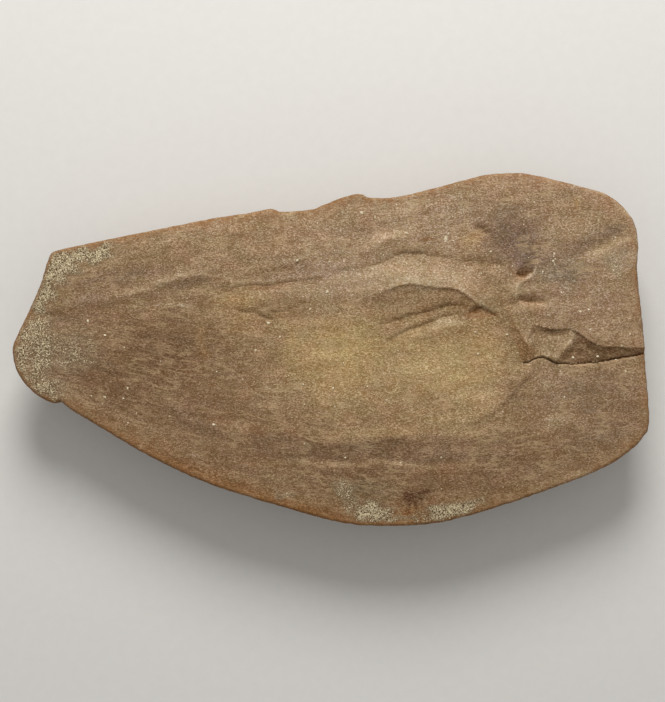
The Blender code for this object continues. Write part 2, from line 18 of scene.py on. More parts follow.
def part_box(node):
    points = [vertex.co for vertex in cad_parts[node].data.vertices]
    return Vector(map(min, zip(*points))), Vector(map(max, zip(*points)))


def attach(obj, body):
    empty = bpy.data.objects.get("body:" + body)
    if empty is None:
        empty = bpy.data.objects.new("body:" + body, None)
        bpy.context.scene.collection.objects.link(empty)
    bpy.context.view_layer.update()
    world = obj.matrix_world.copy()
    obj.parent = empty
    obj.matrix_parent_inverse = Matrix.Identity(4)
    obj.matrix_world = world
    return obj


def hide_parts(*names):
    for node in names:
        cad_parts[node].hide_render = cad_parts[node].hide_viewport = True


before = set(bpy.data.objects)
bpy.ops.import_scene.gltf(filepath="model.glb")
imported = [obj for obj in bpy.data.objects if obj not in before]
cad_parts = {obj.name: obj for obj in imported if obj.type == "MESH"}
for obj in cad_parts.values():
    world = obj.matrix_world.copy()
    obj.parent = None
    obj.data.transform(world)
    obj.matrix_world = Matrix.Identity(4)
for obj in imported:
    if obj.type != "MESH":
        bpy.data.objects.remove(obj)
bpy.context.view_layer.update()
low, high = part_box("nodule_half")
MM = (high.x - low.x) / 150


def words(text, mark="\n"):
    """The words of each line of a table, or of each stretch between two marks."""
    return [stretch.split() for stretch in text.strip().split(mark)]


def rows(text):
    """Rows of numbers, written with commas between the rows."""
    return np.array([[float(word) for word in row] for row in words(text, ",")])


def entries(text):
    """A table's entries, with an empty line between them: words, a colon and rows of numbers."""
    for entry in text.split("\n\n"):
        head, points = entry.split(":")
        yield head.split(), rows(points)


# ---- Sizes, in millimetres of the stone
THICKNESS = 18.0  # resting patch to the level of the split face
REST_PATCH = (34.0, 16.0)  # half-length and half-width of the flat patch on the back
RIM_WALL = 1.6  # thickness of the natural rim before the back curves under
BREAK_WALL = 7.5  # height of the broken sides
RIM_ROUND = 0.55  # rounding where the face meets a side

# Spacing of the mesh
RIM_STEP = 0.55
GRID_STEP = 0.44
FINE_STEP = 0.24  # beside the crisp lines
FINE_REACH = 0.75
WALL_RINGS = 18
BACK_RINGS = 28

# ---- Outline, anticlockwise from the top of the nose. Each stretch is a smooth curve between corners.
NOSE = rows("""
-66.8 20.6, -69.1 13.5, -73.5 4.2, -75 0, -74.1 -4.8, -71.2 -9.1, -67.9 -11.6, -65.1 -12.7, -63.7 -12.2""")
BELLY = rows("""
-63.7 -12.2, -61.2 -14.2, -55.3 -17.8, -43.5 -24.8, -29.9 -31.2, -14.3 -36.3, 2.1 -40.8, 12.5 -41.6,
25.6 -40.8, 40.7 -36.7, 57.6 -30.7, 66.1 -26.9, 71.7 -22.8, 74.5 -19.4""")
BLUNT_END = rows("""
74.5 -19.4, 75 -17, 74.8 -11.5, 74.2 -3.9, 73.7 3.6, 72.8 11.5, 72.1 18.5, 72.4 24.6, 71.9 28.3""")
SHOULDER = rows("""71.9 28.3, 70.6 31.4, 67.4 34.8, 63.9 37""")
STRAIGHT_SIDE = rows("""
63.9 37, 54.8 39.4, 46.4 41.3, 41.2 41.5, 35 40.8, 24.4 38, 15.4 35.9, 9 35.8, 7.4 36.6, 4 36.2, -1.6 34.1,
-4.5 33, -8.5 32.6, -12 32.5, -14.2 33.1, -18.6 32.3, -27 31, -41.1 28.2, -52.4 25.9, -63.7 23.5,
-65.8 22.6, -66.8 20.6""")
# Each stretch, and whether its side is broken, 0 or 1
OUTLINE = ((NOSE, 0.0), (BELLY, 0.0), (BLUNT_END, 1.0), (SHOULDER, 1.0), (STRAIGHT_SIDE, 1.0))

# ---- Relief. A fold follows a curve of (x, y, height) points, and a negative height is a groove.
# It dies away over the reach on each side: left and right as one travels along the curve.
Fold = namedtuple("Fold", "points left right sharpness", defaults=(1.6,))
FOLDS = {name: Fold(points, *map(float, reaches)) for (name, *reaches), points in entries("""
flank_crest 3.4 1.4: -54.3 11.9 0, -50.8 12.6 0.2, -46.3 13.6 0.3, -41.8 14.7 0.3, -38.3 16.1 0.35,
-34.8 17.4 0.4, -31.7 17.9 0.4, -28.4 17.8 0.3, -22 17.2 0

flank_groove 2.4 3.2: -68.2 7.4 0, -63.7 8.1 -0.2, -57.8 9.1 -0.25, -52 10.3 -0.3, -45.8 11.1 -0.3,
-42.6 11.7 -0.3, -39.5 13 -0.3, -36.2 14.3 -0.3, -33.1 15 -0.25, -29.9 15.2 -0.2, -27 15.2 0

neck_line 0.5 2.6 1.2: -29.4 13.8 0, -26.9 14.2 -0.25, -21.4 14.8 -0.4, -17.9 15.2 -0.4, -13.6 15.1 -0.35,
-10.4 15.8 -0.4, -6.5 16.3 -0.35, -3.4 16.8 -0.2, -1 17.2 0

upper_ledge 0.75 3 1.3: -7.3 14.7 0, -3.5 15.9 -0.2, 0.5 17.4 -0.25, 2.4 18.4 -0.35, 4.5 18.8 -0.4,
7.1 19.2 -0.3, 9.9 19.6 -0.35, 12.2 20.3 -0.45, 13.6 21 -0.6, 15.3 22 -0.8, 16.7 22.7 -1, 17.9 22.9 -1,
19.7 22.5 -1, 21.4 22.3 -0.9, 23.3 21.9 -0.7, 25.6 21.6 -0.45, 28.2 21 -0.25, 30.8 20.8 -0.3,
33.4 20.6 -0.4, 36.8 20.4 -0.45, 39.7 20.1 -0.45, 41.4 19.3 0

high_ledge 3 1.1: -21.4 17.6 0, -18.1 18.2 0.2, -14.8 19.4 0.35, -11.5 20.2 0.4, -8.7 20.9 0.4,
-6.1 21.5 0.35, -3.1 22.3 0

oval_shoulder 4.6 3.2 1: 4.9 10.9 0, 7.1 11.9 0.3, 9.6 12.8 0.5, 11.9 13.7 0.7, 15.4 14.8 0.85,
18.2 15.4 0.9, 21.3 15.2 0.95, 23.5 14.9 0.95, 25.6 14.6 0.95, 28.2 14.6 0.95, 30 14 0.95, 32.3 12.6 0.95,
34.6 10.7 0.9, 36.6 9.3 0.75, 38.2 8.5 0.5, 39.3 8.8 0.4, 40.5 9.4 0.3, 41.6 10.1 0.15, 42.3 10.9 0

shoulder_step 0.3 1.5 1.2: 11.9 13.3 0, 15.4 14.4 -0.1, 18.2 15 -0.2, 21.3 14.8 -0.2, 24 14.4 -0.25,
27 14.2 -0.25, 30 13.5 -0.25, 32.3 12 -0.2, 34.6 10.2 0

inner_fold 0.55 1.9 1.3: 9.5 5.2 0, 12.7 6.1 -0.25, 15.4 6.9 -0.4, 18.2 7.8 -0.5, 21.3 8.7 -0.55,
23.3 9.3 -0.6, 26 10.1 -0.6, 28.8 10.5 -0.5, 31.1 10.3 -0.3, 32.7 9.6 0

cave 0.6 1.7: 31.6 8.4 0, 32.7 8.8 -0.4, 33.6 9.1 -0.7, 34.3 9.5 -0.85, 35.3 9.8 -0.9, 36.4 9.3 -0.9,
37.4 8.7 -0.8, 38.3 8 -0.5, 39.3 7.6 0

lower_fold 0.55 1.7 1.3: 12 0.6 0, 13.6 1.8 -0.35, 15 2.7 -0.45, 16.2 3.5 -0.5, 18.6 4.6 -0.55,
22.1 5.9 -0.6, 24.2 6.7 -0.6, 26 7.4 -0.5, 28.8 8.2 -0.35, 30.8 8.7 0

fold_lip 1.5 3.2: 15 0.8 0, 21.9 4 0.3, 29.2 5.6 0.4, 33.5 5.4 0

oval_end_wall 2.2 1.7 1.1: 41.5 10.4 0, 42.5 7.6 0.7, 43.5 5.4 1, 44.8 3.2 1.1, 45.9 1.4 1.1, 47 -0.4 0.8,
47.9 -2.2 0

oval_end_lip 0.75 3.2: 46.8 -3.4 0, 46.5 -5.5 0.6, 44.4 -7.6 0.75, 42.9 -9.1 0.75, 41.3 -11.4 0.65,
39.7 -12.8 0.6, 37.6 -14.7 0.5, 33.9 -16.8 0.35, 29.2 -17.5 0

body_lower_edge 3.2 1.7 1.2: -42.6 -7.2 0, -39.5 -10.7 0.25, -37.4 -13 0.4, -35.5 -14.6 0.5,
-33.5 -16.3 0.5, -30.8 -17.3 0.5, -27.7 -18.5 0.5, -23 -19.6 0.5, -19 -20 0.55, -14.3 -20.3 0.6,
-9.6 -20.7 0.6, -6.1 -21.2 0.65, -3.1 -22 0.65, -0.2 -22.7 0.6, 3.1 -22.2 0.65, 7.3 -21.5 0.7,
11.5 -21.2 0.65, 15.5 -20.9 0.6, 19.7 -21.3 0.55, 24.5 -21.5 0.4, 29.2 -21.3 0

lower_groove 1.9 0.6: -24.9 -24.1 0, -20.2 -25.7 -0.15, -14.3 -26.4 -0.15, -7.3 -25.9 -0.2, -3.1 -26.3 -0.2,
3.1 -26.8 -0.2, 6.8 -26.9 -0.2, 8.7 -26.3 -0.2, 10.6 -25.7 -0.2, 14.8 -26.2 -0.2, 18.6 -27.4 -0.2,
23.3 -27.2 -0.2, 28 -26.8 -0.15, 32.7 -26.2 0

nose_groove 0.9 2: -58.1 -5.3 0, -56.2 -4.6 -0.25, -54.3 -5.1 -0.35, -52.7 -6 -0.3, -50.1 -6.6 -0.3,
-47.7 -6.5 -0.3, -45.8 -7.4 0

nose_crease 0.9 1.5: -71.7 9.5 0, -69.6 8.8 -0.3, -66.5 8.1 -0.35, -63.7 7.4 -0.3, -60.9 6.5 0

nose_ridge 1 0.6: -59.5 3.6 0, -58.1 3.3 0.2, -56.4 3.8 0.25, -55 4.3 0

middle_ledge 0.7 2.2 1.3: -29.4 9.5 0, -26.9 9.9 -0.35, -23.7 9.6 -0.35, -20.6 8.8 -0.4, -17.9 8.6 -0.5,
-16.7 7.9 -0.7, -15.1 7.3 -0.8, -14.3 8.5 -0.5, -11.2 8.9 -0.35, -8.9 9.8 -0.3, -5.9 10.9 -0.25, -2.1 12.6 0

pit 1.5 0.45 1.3: 43.2 17.9 0, 44 17.5 -1.1, 45.2 17.4 -1.7, 46.4 17.9 -1.5, 47.2 18.7 -0.8, 47.8 19.6 0

pit_ridge 1.1 1.2 1.2: 49.3 20.9 0, 48.7 20.3 0.3, 48 19.3 0.6, 46.9 17.4 0.7, 45.3 16.3 0.7, 44.2 15.6 0.7,
43.3 14.6 0.7, 43.1 12.8 0.5, 41.8 11.8 0

brow 1.4 0.6 1.3: 43.4 11.7 0, 44.8 11.4 -0.8, 46.6 11.2 -1.05, 48.9 11.1 -0.95, 50.4 11 -0.6, 51.6 10.8 0

corner_groove 1.8 1.6: 49.6 20.7 0, 51.6 20.8 -0.2, 54.5 21.2 -0.35, 57.4 22.2 -0.4, 60.1 23.1 -0.45,
62.5 24 -0.45, 64.8 25.2 -0.45, 67.2 26.7 -0.4, 70.5 28.6 0

side_nick 0.9 1.2: 33.6 29 0, 34.6 28.7 -0.7, 36 28.1 -0.8, 37.1 27.2 -0.5, 39 25 -0.3, 39.9 22.8 0

eyelid 1.4 1.2: 7.3 21.5 0, 9.2 23.4 0.3, 12.7 25.5 0.4, 16.2 26.2 0.25, 19 25.7 0

flaked_edge 2.6 0.5: 4.5 35.1 0, 4.9 33.5 -0.2, 5.9 31.9 -0.3, 5.2 29.5 -0.3, 6.1 27.4 -0.3, 7.3 26.2 0
""")}

CRISP = (
    "neck_line", "upper_ledge", "oval_shoulder", "inner_fold", "cave", "lower_fold", "middle_ledge",
    "pit", "pit_ridge", "brow", "shoulder_step", "body_lower_edge", "oval_end_wall",
)

# The crack runs from the oval to the blunt end. The slab below it has dropped.
CRACK = rows("""
44.9 -3.3 0, 45.6 -3.2 -0.5, 46.6 -2.9 -0.7, 48 -2.2 -0.9, 49.8 -1.9 -1, 51.2 -2.2 -1, 52.6 -2.8 -1,
54.5 -3.2 -1.1, 56.7 -3.3 -1.2, 59.3 -3.3 -1.2, 63.1 -2.9 -1.1, 67.4 -2.1 -1,
72.3 -1.2 -0.9, 74.6 -0.8 -0.8""")
CRACK_WIDTH = 0.3
SLAB_DROP = Fold(CRACK, 0.2, 9.0)
CRACK_CUT = Fold(CRACK, CRACK_WIDTH / 2, CRACK_WIDTH / 2)

# Broken facets above the crack, each a triangle of corners on the face: x, y and height.
CORNERS = {name: tuple(map(float, place)) for name, *place in words("""
edge0 47.3 6.1 0, edge1 49.1 5.5 -0.15, edge2 51.6 4.8 -0.3, edge3 53.9 4.6 -0.25, edge4 56.1 4.8 -0.2,
edge5 58 4 -0.35, edge6 60.4 2.3 -0.35, edge7 62.2 1.2 -0.3, edge8 64.7 0.45 -0.3, edge9 68.8 0.4 -0.2,
edge10 75.4 0.4 -0.15, foot0 47.6 4.1 -0.75, foot1 50.6 3.6 -0.8, foot2 53.2 3.4 -0.7, foot3 55.6 3.4 -0.35,
west 45.8 2.2 0.1, gully 48.5 -0.6 -0.95, ridge1 56.3 2 -0.15, ridge2 54.8 -0.1 -0.15,
hollow1 58.4 1.9 -0.65, hollow2 62.6 -0.6 -0.85, hollow3 69.5 -0.4 -0.6, lip0 44.9 -3.2 0,
lip1 47.8 -2.2 -0.8, lip2 49.8 -1.8 -0.45, lip3 52.6 -2.7 -0.1, lip4 54.6 -3.1 -1.1, lip5 59.3 -3.2 -1.6,
lip6 65.7 -2.4 -1.45, lip7 75.4 -0.7 -1
""", ",")}
FACETS = """
edge0 edge1 foot0, edge1 foot1 foot0, edge1 edge2 foot1, edge2 foot2 foot1, edge2 edge3 foot2,
edge3 foot3 foot2, edge3 edge4 foot3, edge0 foot0 west, west foot0 gully, west gully lip0,
lip0 gully lip1, gully lip2 lip1, foot0 foot1 gully, foot1 lip2 gully, foot1 foot2 lip2,
foot2 ridge2 lip2, foot2 foot3 ridge2, lip2 ridge2 lip3, foot3 ridge1 ridge2, foot3 edge4 ridge1,
edge4 edge5 ridge1, edge5 hollow1 ridge1, ridge1 hollow1 ridge2, ridge2 hollow1 lip4,
ridge2 lip4 lip3, edge5 edge6 hollow1, hollow1 edge6 hollow2, edge6 edge7 hollow2,
edge7 edge8 hollow2, hollow1 hollow2 lip5, hollow1 lip5 lip4, edge8 hollow3 hollow2,
edge8 edge9 hollow3, edge9 edge10 hollow3, edge10 lip7 hollow3, hollow2 lip6 lip5,
hollow2 hollow3 lip6, hollow3 lip7 lip6
"""

FACET_RIDGES = """edge0 edge1 edge2 edge3 edge4 edge5 edge6 edge7 edge8 edge9 edge10,
edge4 ridge1 ridge2 lip3 lip4, edge0 west lip0, foot0 gully lip1, foot0 foot1 foot2 foot3 ridge1,
edge5 hollow1 lip4, hollow1 hollow2 hollow3"""

# Shallow hollows and low swells: centre, half-length, half-width, height.
Bowl = namedtuple("Bowl", "x y half_length half_width height turn", defaults=(0,))
BOWLS = {name: Bowl(*map(float, shape)) for name, *shape in words("""
body_hollow -3 -2.5 50 18.5 -0.9
oval_hollow 26.5 -4.5 20.5 14.5 -0.8
corner_swell 57 17 17 13 0.5
side_swell -22 25 34 6 0.35
edge_pit 12 28.6 1.4 1.2 -0.5
belly_swell 6 -32.5 42 6 0.4
""")}

RIM_DIP = 0.5  # how far the face falls towards the rim
RIM_DIP_REACH = 5.0
SWELL = 0.35  # height of the broad undulation of the face
SWELL_SIZE = 22.0
BACK_LUMP = 0.9  # height of the lumps on the back
BACK_LUMP_SIZE = 19.0
HACKLE = 0.8  # roughness of the broken sides
HACKLE_SIZE = 6.0
BED_RINGS = 3  # rings of the mesh to each bed of the broken sides
BED_LEDGE = 0.5  # how far one bed stands out from the next
BED_WAVE = 9.0  # length along which a bed's edge wavers
BREAK_LEAN = 0.6  # how far a broken side leans in
BREAK_BLEND = 9.0  # length over which a broken side becomes a natural rim
BACK_SMOOTHING = 40.0  # length of rim over which the back rounds off the outline's corners

# The beds run between these two lines of (x, y) points, near the straight side and the belly.
BEDS_TOP = [(-78, 12), (-60, 23), (-14, 32), (20, 37), (48, 40), (78, 38)]
BEDS_FOOT = [(-78, -10), (-60, -17), (-30, -31), (12, -41), (40, -38), (78, -34)]
BEDS_DEPTH = 75.0
BEDS_LENGTH = 3.5  # how much longer than wide the marks of the bedding are
GRAIN = (0.42, 1.0, 1.0)  # the sand grains are drawn out along X

# Wander of the drawn lines, and fine roughness of the surface: (size, height) pairs.
WANDER = ((7.0, 0.2), (2.2, 0.2), (0.9, 0.12))
RAGGED_RIM = ((3.0, 0.22), (1.4, 0.18))
ROUGHNESS = ((5.0, 0.07), (2.0, 0.035), (0.9, 0.018))
BEDDING = ((3.2, 0.06), (1.3, 0.03))
CRUST_GRAIN = ((1.1, 0.09), (0.7, 0.05))

# ---- Colours, as they look on screen
COLOURS = {
    "brown": (146, 118, 85), "olive": (182, 154, 103), "amber": (178, 145, 98),
    "pale_olive": (179, 152, 106), "tan": (172, 146, 112), "pink": (160, 130, 101),
    "grey_tan": (166, 143, 118), "sand": (194, 168, 132), "cream": (206, 186, 152), "plum": (118, 96, 77),
    "umber": (115, 87, 60), "dark_olive": (116, 99, 72), "oxide": (84, 52, 32), "ember": (138, 99, 62),
    "rust": (136, 92, 48), "slate": (118, 105, 86),
}

# Stains: colour, centre, half-length, half-width, turn in degrees, strength.
# Some stains are painted light and shade: the pale stain along the top of the oval's shoulder is a painted
# highlight, the pale stain in the crescent under it is painted light that lifts its shade, and the shade
# along the belly is partly painted shade, darker towards the bottom where the light falls off.
Stain = namedtuple("Stain", "colour x y half_length half_width turn strength")
STAINS = {name: Stain(colour, *map(float, shape)) for name, colour, *shape in words("""
far_grey grey_tan 24 29 28 9 4 0.45
right_grey grey_tan 57 16 12 12 0 0.4
middle_light grey_tan 1 17.5 11 6.5 0 0.7
top_far pink 44.4 39.4 10 2.2 0 0.6
top_corner sand 57 26.8 3.6 1.8 10 0.55
chip_top sand 60 5.4 3.6 2 -24 0.4
end_grey grey_tan 68 24 3 3 0 0.4
nose_grey grey_tan -56 11.2 6 1.6 6 0.5
nose_line plum -60 6.6 9.5 1.6 4 0.45
body_shade umber -40 -2 18 11 0 0.95
belly_shade umber -2 -26.5 66 9 0 0.55
oval_ochre olive 3.3 -0.1 13 8 0 0.85
oval_amber amber -0.2 -4.1 6.5 4 0 0.5
oval_right pale_olive 28 -5.5 15.5 11 0 1
oval_end olive 35.3 1.1 4 5 0 0.4
oval_foot olive 11.5 -19.6 10 1.4 0 0.2
neck_ochre amber -21.9 11.4 6 2.6 8 0.6
flank_shade umber -36 8.8 5.5 2 6 0.35
ochre_streak olive -8.9 0.8 1.1 3.4 -8 0.45
high_plum plum 43.3 26 7.2 5 -48 1
plum_foot plum 44.5 22.2 4.4 2.8 0 0.8
corner_plum plum 62 27 9 1.8 20 0.3
block_plum plum 56 20.5 8 2.2 0 0.3
block_slate slate 54.8 18.4 5.5 3 14 0.7
nose_plum umber -60 8.6 10.5 2.4 8 0.5
flank_plum plum -35 15.2 8.5 1.9 14 0.5
top_left_plum plum -50 16.8 12 2.4 8 0.6
eyelid_shade umber 7.8 28 2.6 2 20 0.6
nick_plum plum 36 26 3 2.4 0 0.4
crescent_light tan 16 10.6 9 1.8 8 0.3
lower_band_right umber 20 -24.4 12 2.2 3 0.5
body_edge_plum plum -32.5 -16.4 6 2 -30 0.5
body_foot_plum umber -29.5 -13.5 7.5 3.6 0 0.6
body_low umber -15 -15.5 10 3.8 0 0.35
nose_smoke plum -62 -3.5 8 5.5 -20 0.7
oval_dusk umber 24 -12.3 9.5 3.4 0 0.42
slab_light tan 51.5 -7 3.8 4.6 0 0.55
centre_light pale_olive 1 -10 8 5.5 0 0.45
left_light amber -21.5 6 4.5 2.6 0 0.35
fold_light tan 13.5 5.2 4 1.6 14 0.4
crack_foot umber 67 -2.8 3.5 1.4 0 0.35
lip_hollow umber 42.8 -10.4 1.8 1.4 -30 0.6
end_low umber 69.5 -10 3 6 0 0.3
left_strip amber -30 1.5 1.3 5 0 0.35
crack_start umber 47 -4.6 2.4 1.2 10 0.5
nose_shade umber -55.5 -6.7 8 3 -10 0.8
belly_olive dark_olive 9.5 -33.9 7.6 3.4 0 0.9
right_plum plum 57.5 -11 16 8 0 0.5
right_low plum 64 -20.5 7 2.6 20 0.45
tan_zone tan 53.8 -16 5.2 2.2 0 0.8
block_pink pink 62.5 8 9 6 0 0.7
shoulder_cream cream 18 15.6 7.5 1.8 5 0.6
sparkle cream 67.2 20.1 2.5 2.6 0 0.35
bump amber 32.6 26 2.6 2 0 0.65
nick_shade umber 35.4 28.3 1.9 0.9 -20 0.7
chip_shade umber 61 -0.2 5 2.2 -14 0.5
pit_light sand 46.2 14.4 3.2 2 0 0.55
pit_rust ember 45.3 18.2 1.9 1.2 20 0.75
wall_foot tan 47.2 3.6 2 3.6 14 0.55
oxide_run rust 19 -38.6 4.2 2 10 0.8
belly_warmth ember 13 -38 17 4 2 0.45
right_foot umber 33 -30.5 14 3.5 8 0.45
oval_edge umber 42 -9.5 4 4.5 30 0.45
nose_foot umber -46.5 -12.8 11 3.6 -14 0.8
band_foot umber 7 -28.6 15 2.2 0 0.75
tan_spot amber 58.2 34.1 0.9 0.9 0 0.8
fold_pale cream 27 6 3.6 0.9 8 0.35
belly_right umber 40 -26 22 6 10 0.35
""")}

# Patches of colour with a clear edge, each a polygon of plan points.
Patch = namedtuple("Patch", "colour strength points")
# Some patches are painted shade: the dark patches on the brow under the pit and in the cave, and the dark
# patch on the chip's hollow, which also has a darker colour of its own. The pale patch on the chip's face
# is its tan colour with painted light, where the facet faces the key light.
PATCHES = {
    name: Patch(colour, float(strength), points) for (name, colour, strength), points in entries("""
oxide oxide 0.8: 16.6 -33.6, 17.8 -32.7, 20.2 -33.2, 22.2 -32.8, 24.4 -33.3, 22.6 -33.9, 21.8 -34.6,
21.4 -37.2, 20.8 -35.2, 19.9 -38.2, 19.2 -35.6, 18 -38.9, 17.6 -35.6, 16.4 -37, 17.2 -34.9

wall ember 0.5: 41.4 10.3, 42.5 7.4, 43.6 5.1, 45.1 3, 45.9 1.6, 48.4 -0.2, 47.8 -1.9, 44.9 -3.3, 43.7 0.8,
42 5.2

chip_face tan 0.4: 49 4.2, 52 3.6, 55.4 3.2, 55.9 1.6, 54.2 0, 52.9 -1.7, 50.4 -1.6, 49.2 0.4

chip_shadow umber 0.55: 48.4 5.8, 51.6 4.8, 56 4.7, 55.4 3.9, 52 3.6, 49.2 4.3

chip_hollow umber 0.7: 56.5 4.6, 58 3.8, 60.4 2.1, 62.2 1, 64.7 0.3, 70 0.2, 74.6 0.2, 74.6 -0.8, 66 -2.3,
59.3 -3.1, 54.8 -2.9, 54 -1.4, 55.4 0.4, 56.8 2.4

brow umber 0.5: 43.9 12.3, 45.5 13.2, 48 13, 50.9 11.6, 47.6 11.2, 45 11.4

cave ember 0.8: 31.5 8.3, 33.5 9.2, 35.3 9.9, 37.4 9.1, 39.4 7.8, 36 7.5, 33 7.4

lower_band plum 0.22: -19 -19.9, -12 -19.6, -6 -20.7, -2.6 -21.5, 1.4 -22.2, 7.3 -21.5, 15 -20.6,
20.9 -19.9, 30 -20.6, 44 -21.5, 44 -25, 28 -26, 18 -26.8, 10 -25.3, 4 -26.3, -8 -25.5, -18 -24
""")}
PATCH_EDGE = 0.5  # width over which a patch fades out

# Streaks of colour along a curve of (x, y, strength) points, and their width.
Streak = namedtuple("Streak", "colour points width")
# Several streaks are painted light and shade: the pale streaks along the oval's shoulder and its crest, the
# flank's crest, the eyelid, the pit's ridge, the chip's ridge, the oval's end lip, the far rim and the lit
# side below the corner groove are painted highlights; the pale streak on the upper ledge is painted light
# that lifts its shade; the dark streaks along the shoulder's crest and the corner groove are painted shade.
STREAKS = {
    name: Streak(colour, points, float(width)) for (name, colour, width), points in entries("""
shoulder_light sand 2.3: -22.3 12.6 0, -16.2 13.5 0.25, -7.3 14.2 0.25, 2.1 16.6 0.4, 11.5 18.5 0.6,
20.9 18.3 0.65, 29.2 16.8 0.6, 35 13.8 0.4, 39.7 10.2 0

upper_light tan 2.8: -47.3 19.2 0, -30.8 20.8 0.25, -16.7 23.4 0.25, -0.2 24.3 0.4, 13.9 25 0.4, 28 25.6 0

flank_light sand 0.7: -54.3 11.9 0, -46.3 13.8 0.4, -38.3 16.4 0.5, -31.7 18 0.6, -27.3 17 0.4,
-21.4 15.9 0.4, -16.2 16.3 0

ledge_light sand 0.7: 12 20.6 0, 15 22.4 0.5, 18 23.3 0.5, 21.5 22.8 0.4, 24.5 22.2 0

flank_foot_light tan 0.5: -51.5 9.5 0, -45.6 10.5 0.3, -39.5 11.7 0.3, -35 12.8 0.35, -32 13.3 0

lower_light tan 0.5: -20.2 -25.9 0, -7.3 -26.1 0.35, -0.7 -26.9 0.5, 6.8 -27.1 0.5, 10.6 -25.9 0.5,
16.7 -27.1 0.5, 23.3 -27.4 0.4, 32.7 -26.4 0

corner_shade plum 1.3: 54 21.9 0, 57.5 23.4 0.4, 61.5 25.6 0.4, 65.5 27.2 0.5, 69 28.6 0.4, 71 29.6 0

corner_light sand 1.2: 54 18 0, 58 20.4 0.3, 62 22.6 0.45, 66 24.5 0.45, 70.6 26.6 0.3

end_flush pink 1.6: 70.8 14 0, 71.7 4.6 0.7, 72.6 1.1 0.5

lip_light tan 0.9: 46.8 -3.9 0, 44.7 -7.9 0.35, 42.6 -10 0.35, 41.1 -12.8 0.3, 38.6 -15.2 0

chip_ridge sand 0.7: 57.4 4.3 0, 56.3 2.6 0.6, 55.2 0.7 0.7, 53.7 -1.5 0

eyelid_light sand 1: 8.4 23.6 0, 10.4 25.2 0.5, 13.2 26.8 0.55, 16.4 27.8 0.45, 19 28.2 0

eyelid_crease ember 0.35: 20.4 25.2 0, 21.8 25.8 0.8, 23.4 26 0.8, 24.8 25.4 0

belly_light sand 1.2: 40 -36 0, 50 -32.6 0.35, 58 -29.6 0.4, 66 -26 0.35, 71 -22.5 0

nose_rust ember 0.6: -71.5 8 0, -74 1 0.5, -73.6 -4.5 0.6, -71 -8.8 0.8, -67.6 -11.2 0.9, -64.8 -12.3 0.7,
-60 -14.6 0

pit_ridge_light cream 0.35: 48.5 20.1 0, 47 17.6 0.3, 44.9 16.3 0.3, 43.5 14.8 0.3, 43.2 13 0.2, 42 12 0

flank_stroke cream 0.35: -48.6 12.7 0, -46.5 13.4 0.35, -44.4 14.1 0.35, -42.1 14.3 0.2, -38.6 15.3 0.25,
-36.6 17 0.3, -34.5 17.6 0.3, -31.5 17.6 0

flank_foot_stroke cream 0.28: -46 9.2 0, -43 9.9 0.25, -40.2 10.5 0.3, -37 10.4 0.4, -34.5 10.5 0.5,
-32 10.3 0

neck_stroke cream 0.32: -29 14.8 0, -25 14.7 0.3, -22 15 0.35, -20.2 15.8 0.3, -15 16.1 0.3, -11.3 16.8 0.3,
-6 17.3 0.2, -2.6 17.9 0

high_stroke cream 0.32: -13.2 19.6 0, -11.3 20.6 0.3, -7.3 21.5 0.35, -3.3 22.7 0.3, 0 23.2 0

neck_rust ember 0.6: -20.5 14.3 0, -17 14.5 0.5, -12.7 14.6 0.5, -9 14.9 0

band_edge umber 0.45: -40.5 -11.5 0, -37 -14.9 0.5, -33.7 -17.2 0.7, -29 -18.7 0.6, -23.2 -20.1 0.5,
-16.7 -19.7 0.6, -9.6 -20.3 0.7, -4.9 -21.5 0.7, -1.4 -22.6 0.8, 2.1 -23.1 0.8, 6.2 -22.3 0.7,
10.3 -21.6 0.6, 16.2 -21.1 0.6, 19.7 -20.3 0.6, 26.8 -21 0.4, 40 -21.8 0

rim_light cream 0.5: 44 41.2 0, 54.8 39.1 0.4, 63.9 36.6 0.8, 70.3 31.2 0.9, 71.7 26 0.6, 71.9 20 0

belly_rust rust 2.3: -62 -13 0, -52 -18.9 0.3, -36 -27.5 0.5, -20 -34 0.8, -5 -38.5 0.8, 4 -40.6 0.6,
14 -41.2 0.55, 26 -40.4 0.6, 40 -36.5 0.4, 50 -33 0

far_rust pink 2.2: 38 40.6 0, 46 40.4 0.7, 54.8 38.2 0.8, 63.9 35 0.7, 70 29 0

side_rust ember 1.1: -66.5 20.5 0.8, -64.5 22.6 0.7, -52.4 25.4 0.3, -41.1 27.7 0.3, -27 30.6 0.3,
-14.2 32.6 0.3, -1.6 33.6 0.2, 10 35 0

far_tan tan 2.2: -60 21.6 0, -46 24.6 0.35, -28 28.3 0.4, -12 30.6 0.4, 2 32.6 0.4, 18 34.4 0.4, 34 38 0.4,
44 38.9 0

crest_line umber 0.45: 7.1 11.4 0, 11.9 13.2 0.4, 15.4 14.3 0.5, 18.2 14.9 0.6, 21.3 14.6 0.5, 26 14.1 0.5,
30 13.4 0.5, 33.5 11 0.3, 36 9 0

crest_light cream 0.4: 25.6 15.2 0, 29.5 14.6 0.4, 32.6 13 0.5, 35 11 0.5, 37.4 9.6 0.4, 39.5 9.4 0.3,
41.9 10.8 0
""")}

# Pale scratches, each a line of plan points.
SCRATCHES = [
    [(63.2, 32.8), (62.8, 29.7), (62.5, 26.7), (62.5, 23.6)], [(12.2, -24.8), (13.1, -25.0)],
    [(-33.9, -24.8), (-31.0, -25.0)], [(-20.0, -9.1), (-17.6, -10.5), (-14.8, -11.4)],
    [(-15.3, -8.6), (-12.7, -10.2)], [(-57.8, 3.5), (-56.4, 3.8), (-55.0, 4.3)],
]
SCRATCH_WIDTH = 0.16
SCRATCH_STRENGTH = 0.45
SCRATCH_SHARPNESS = 2

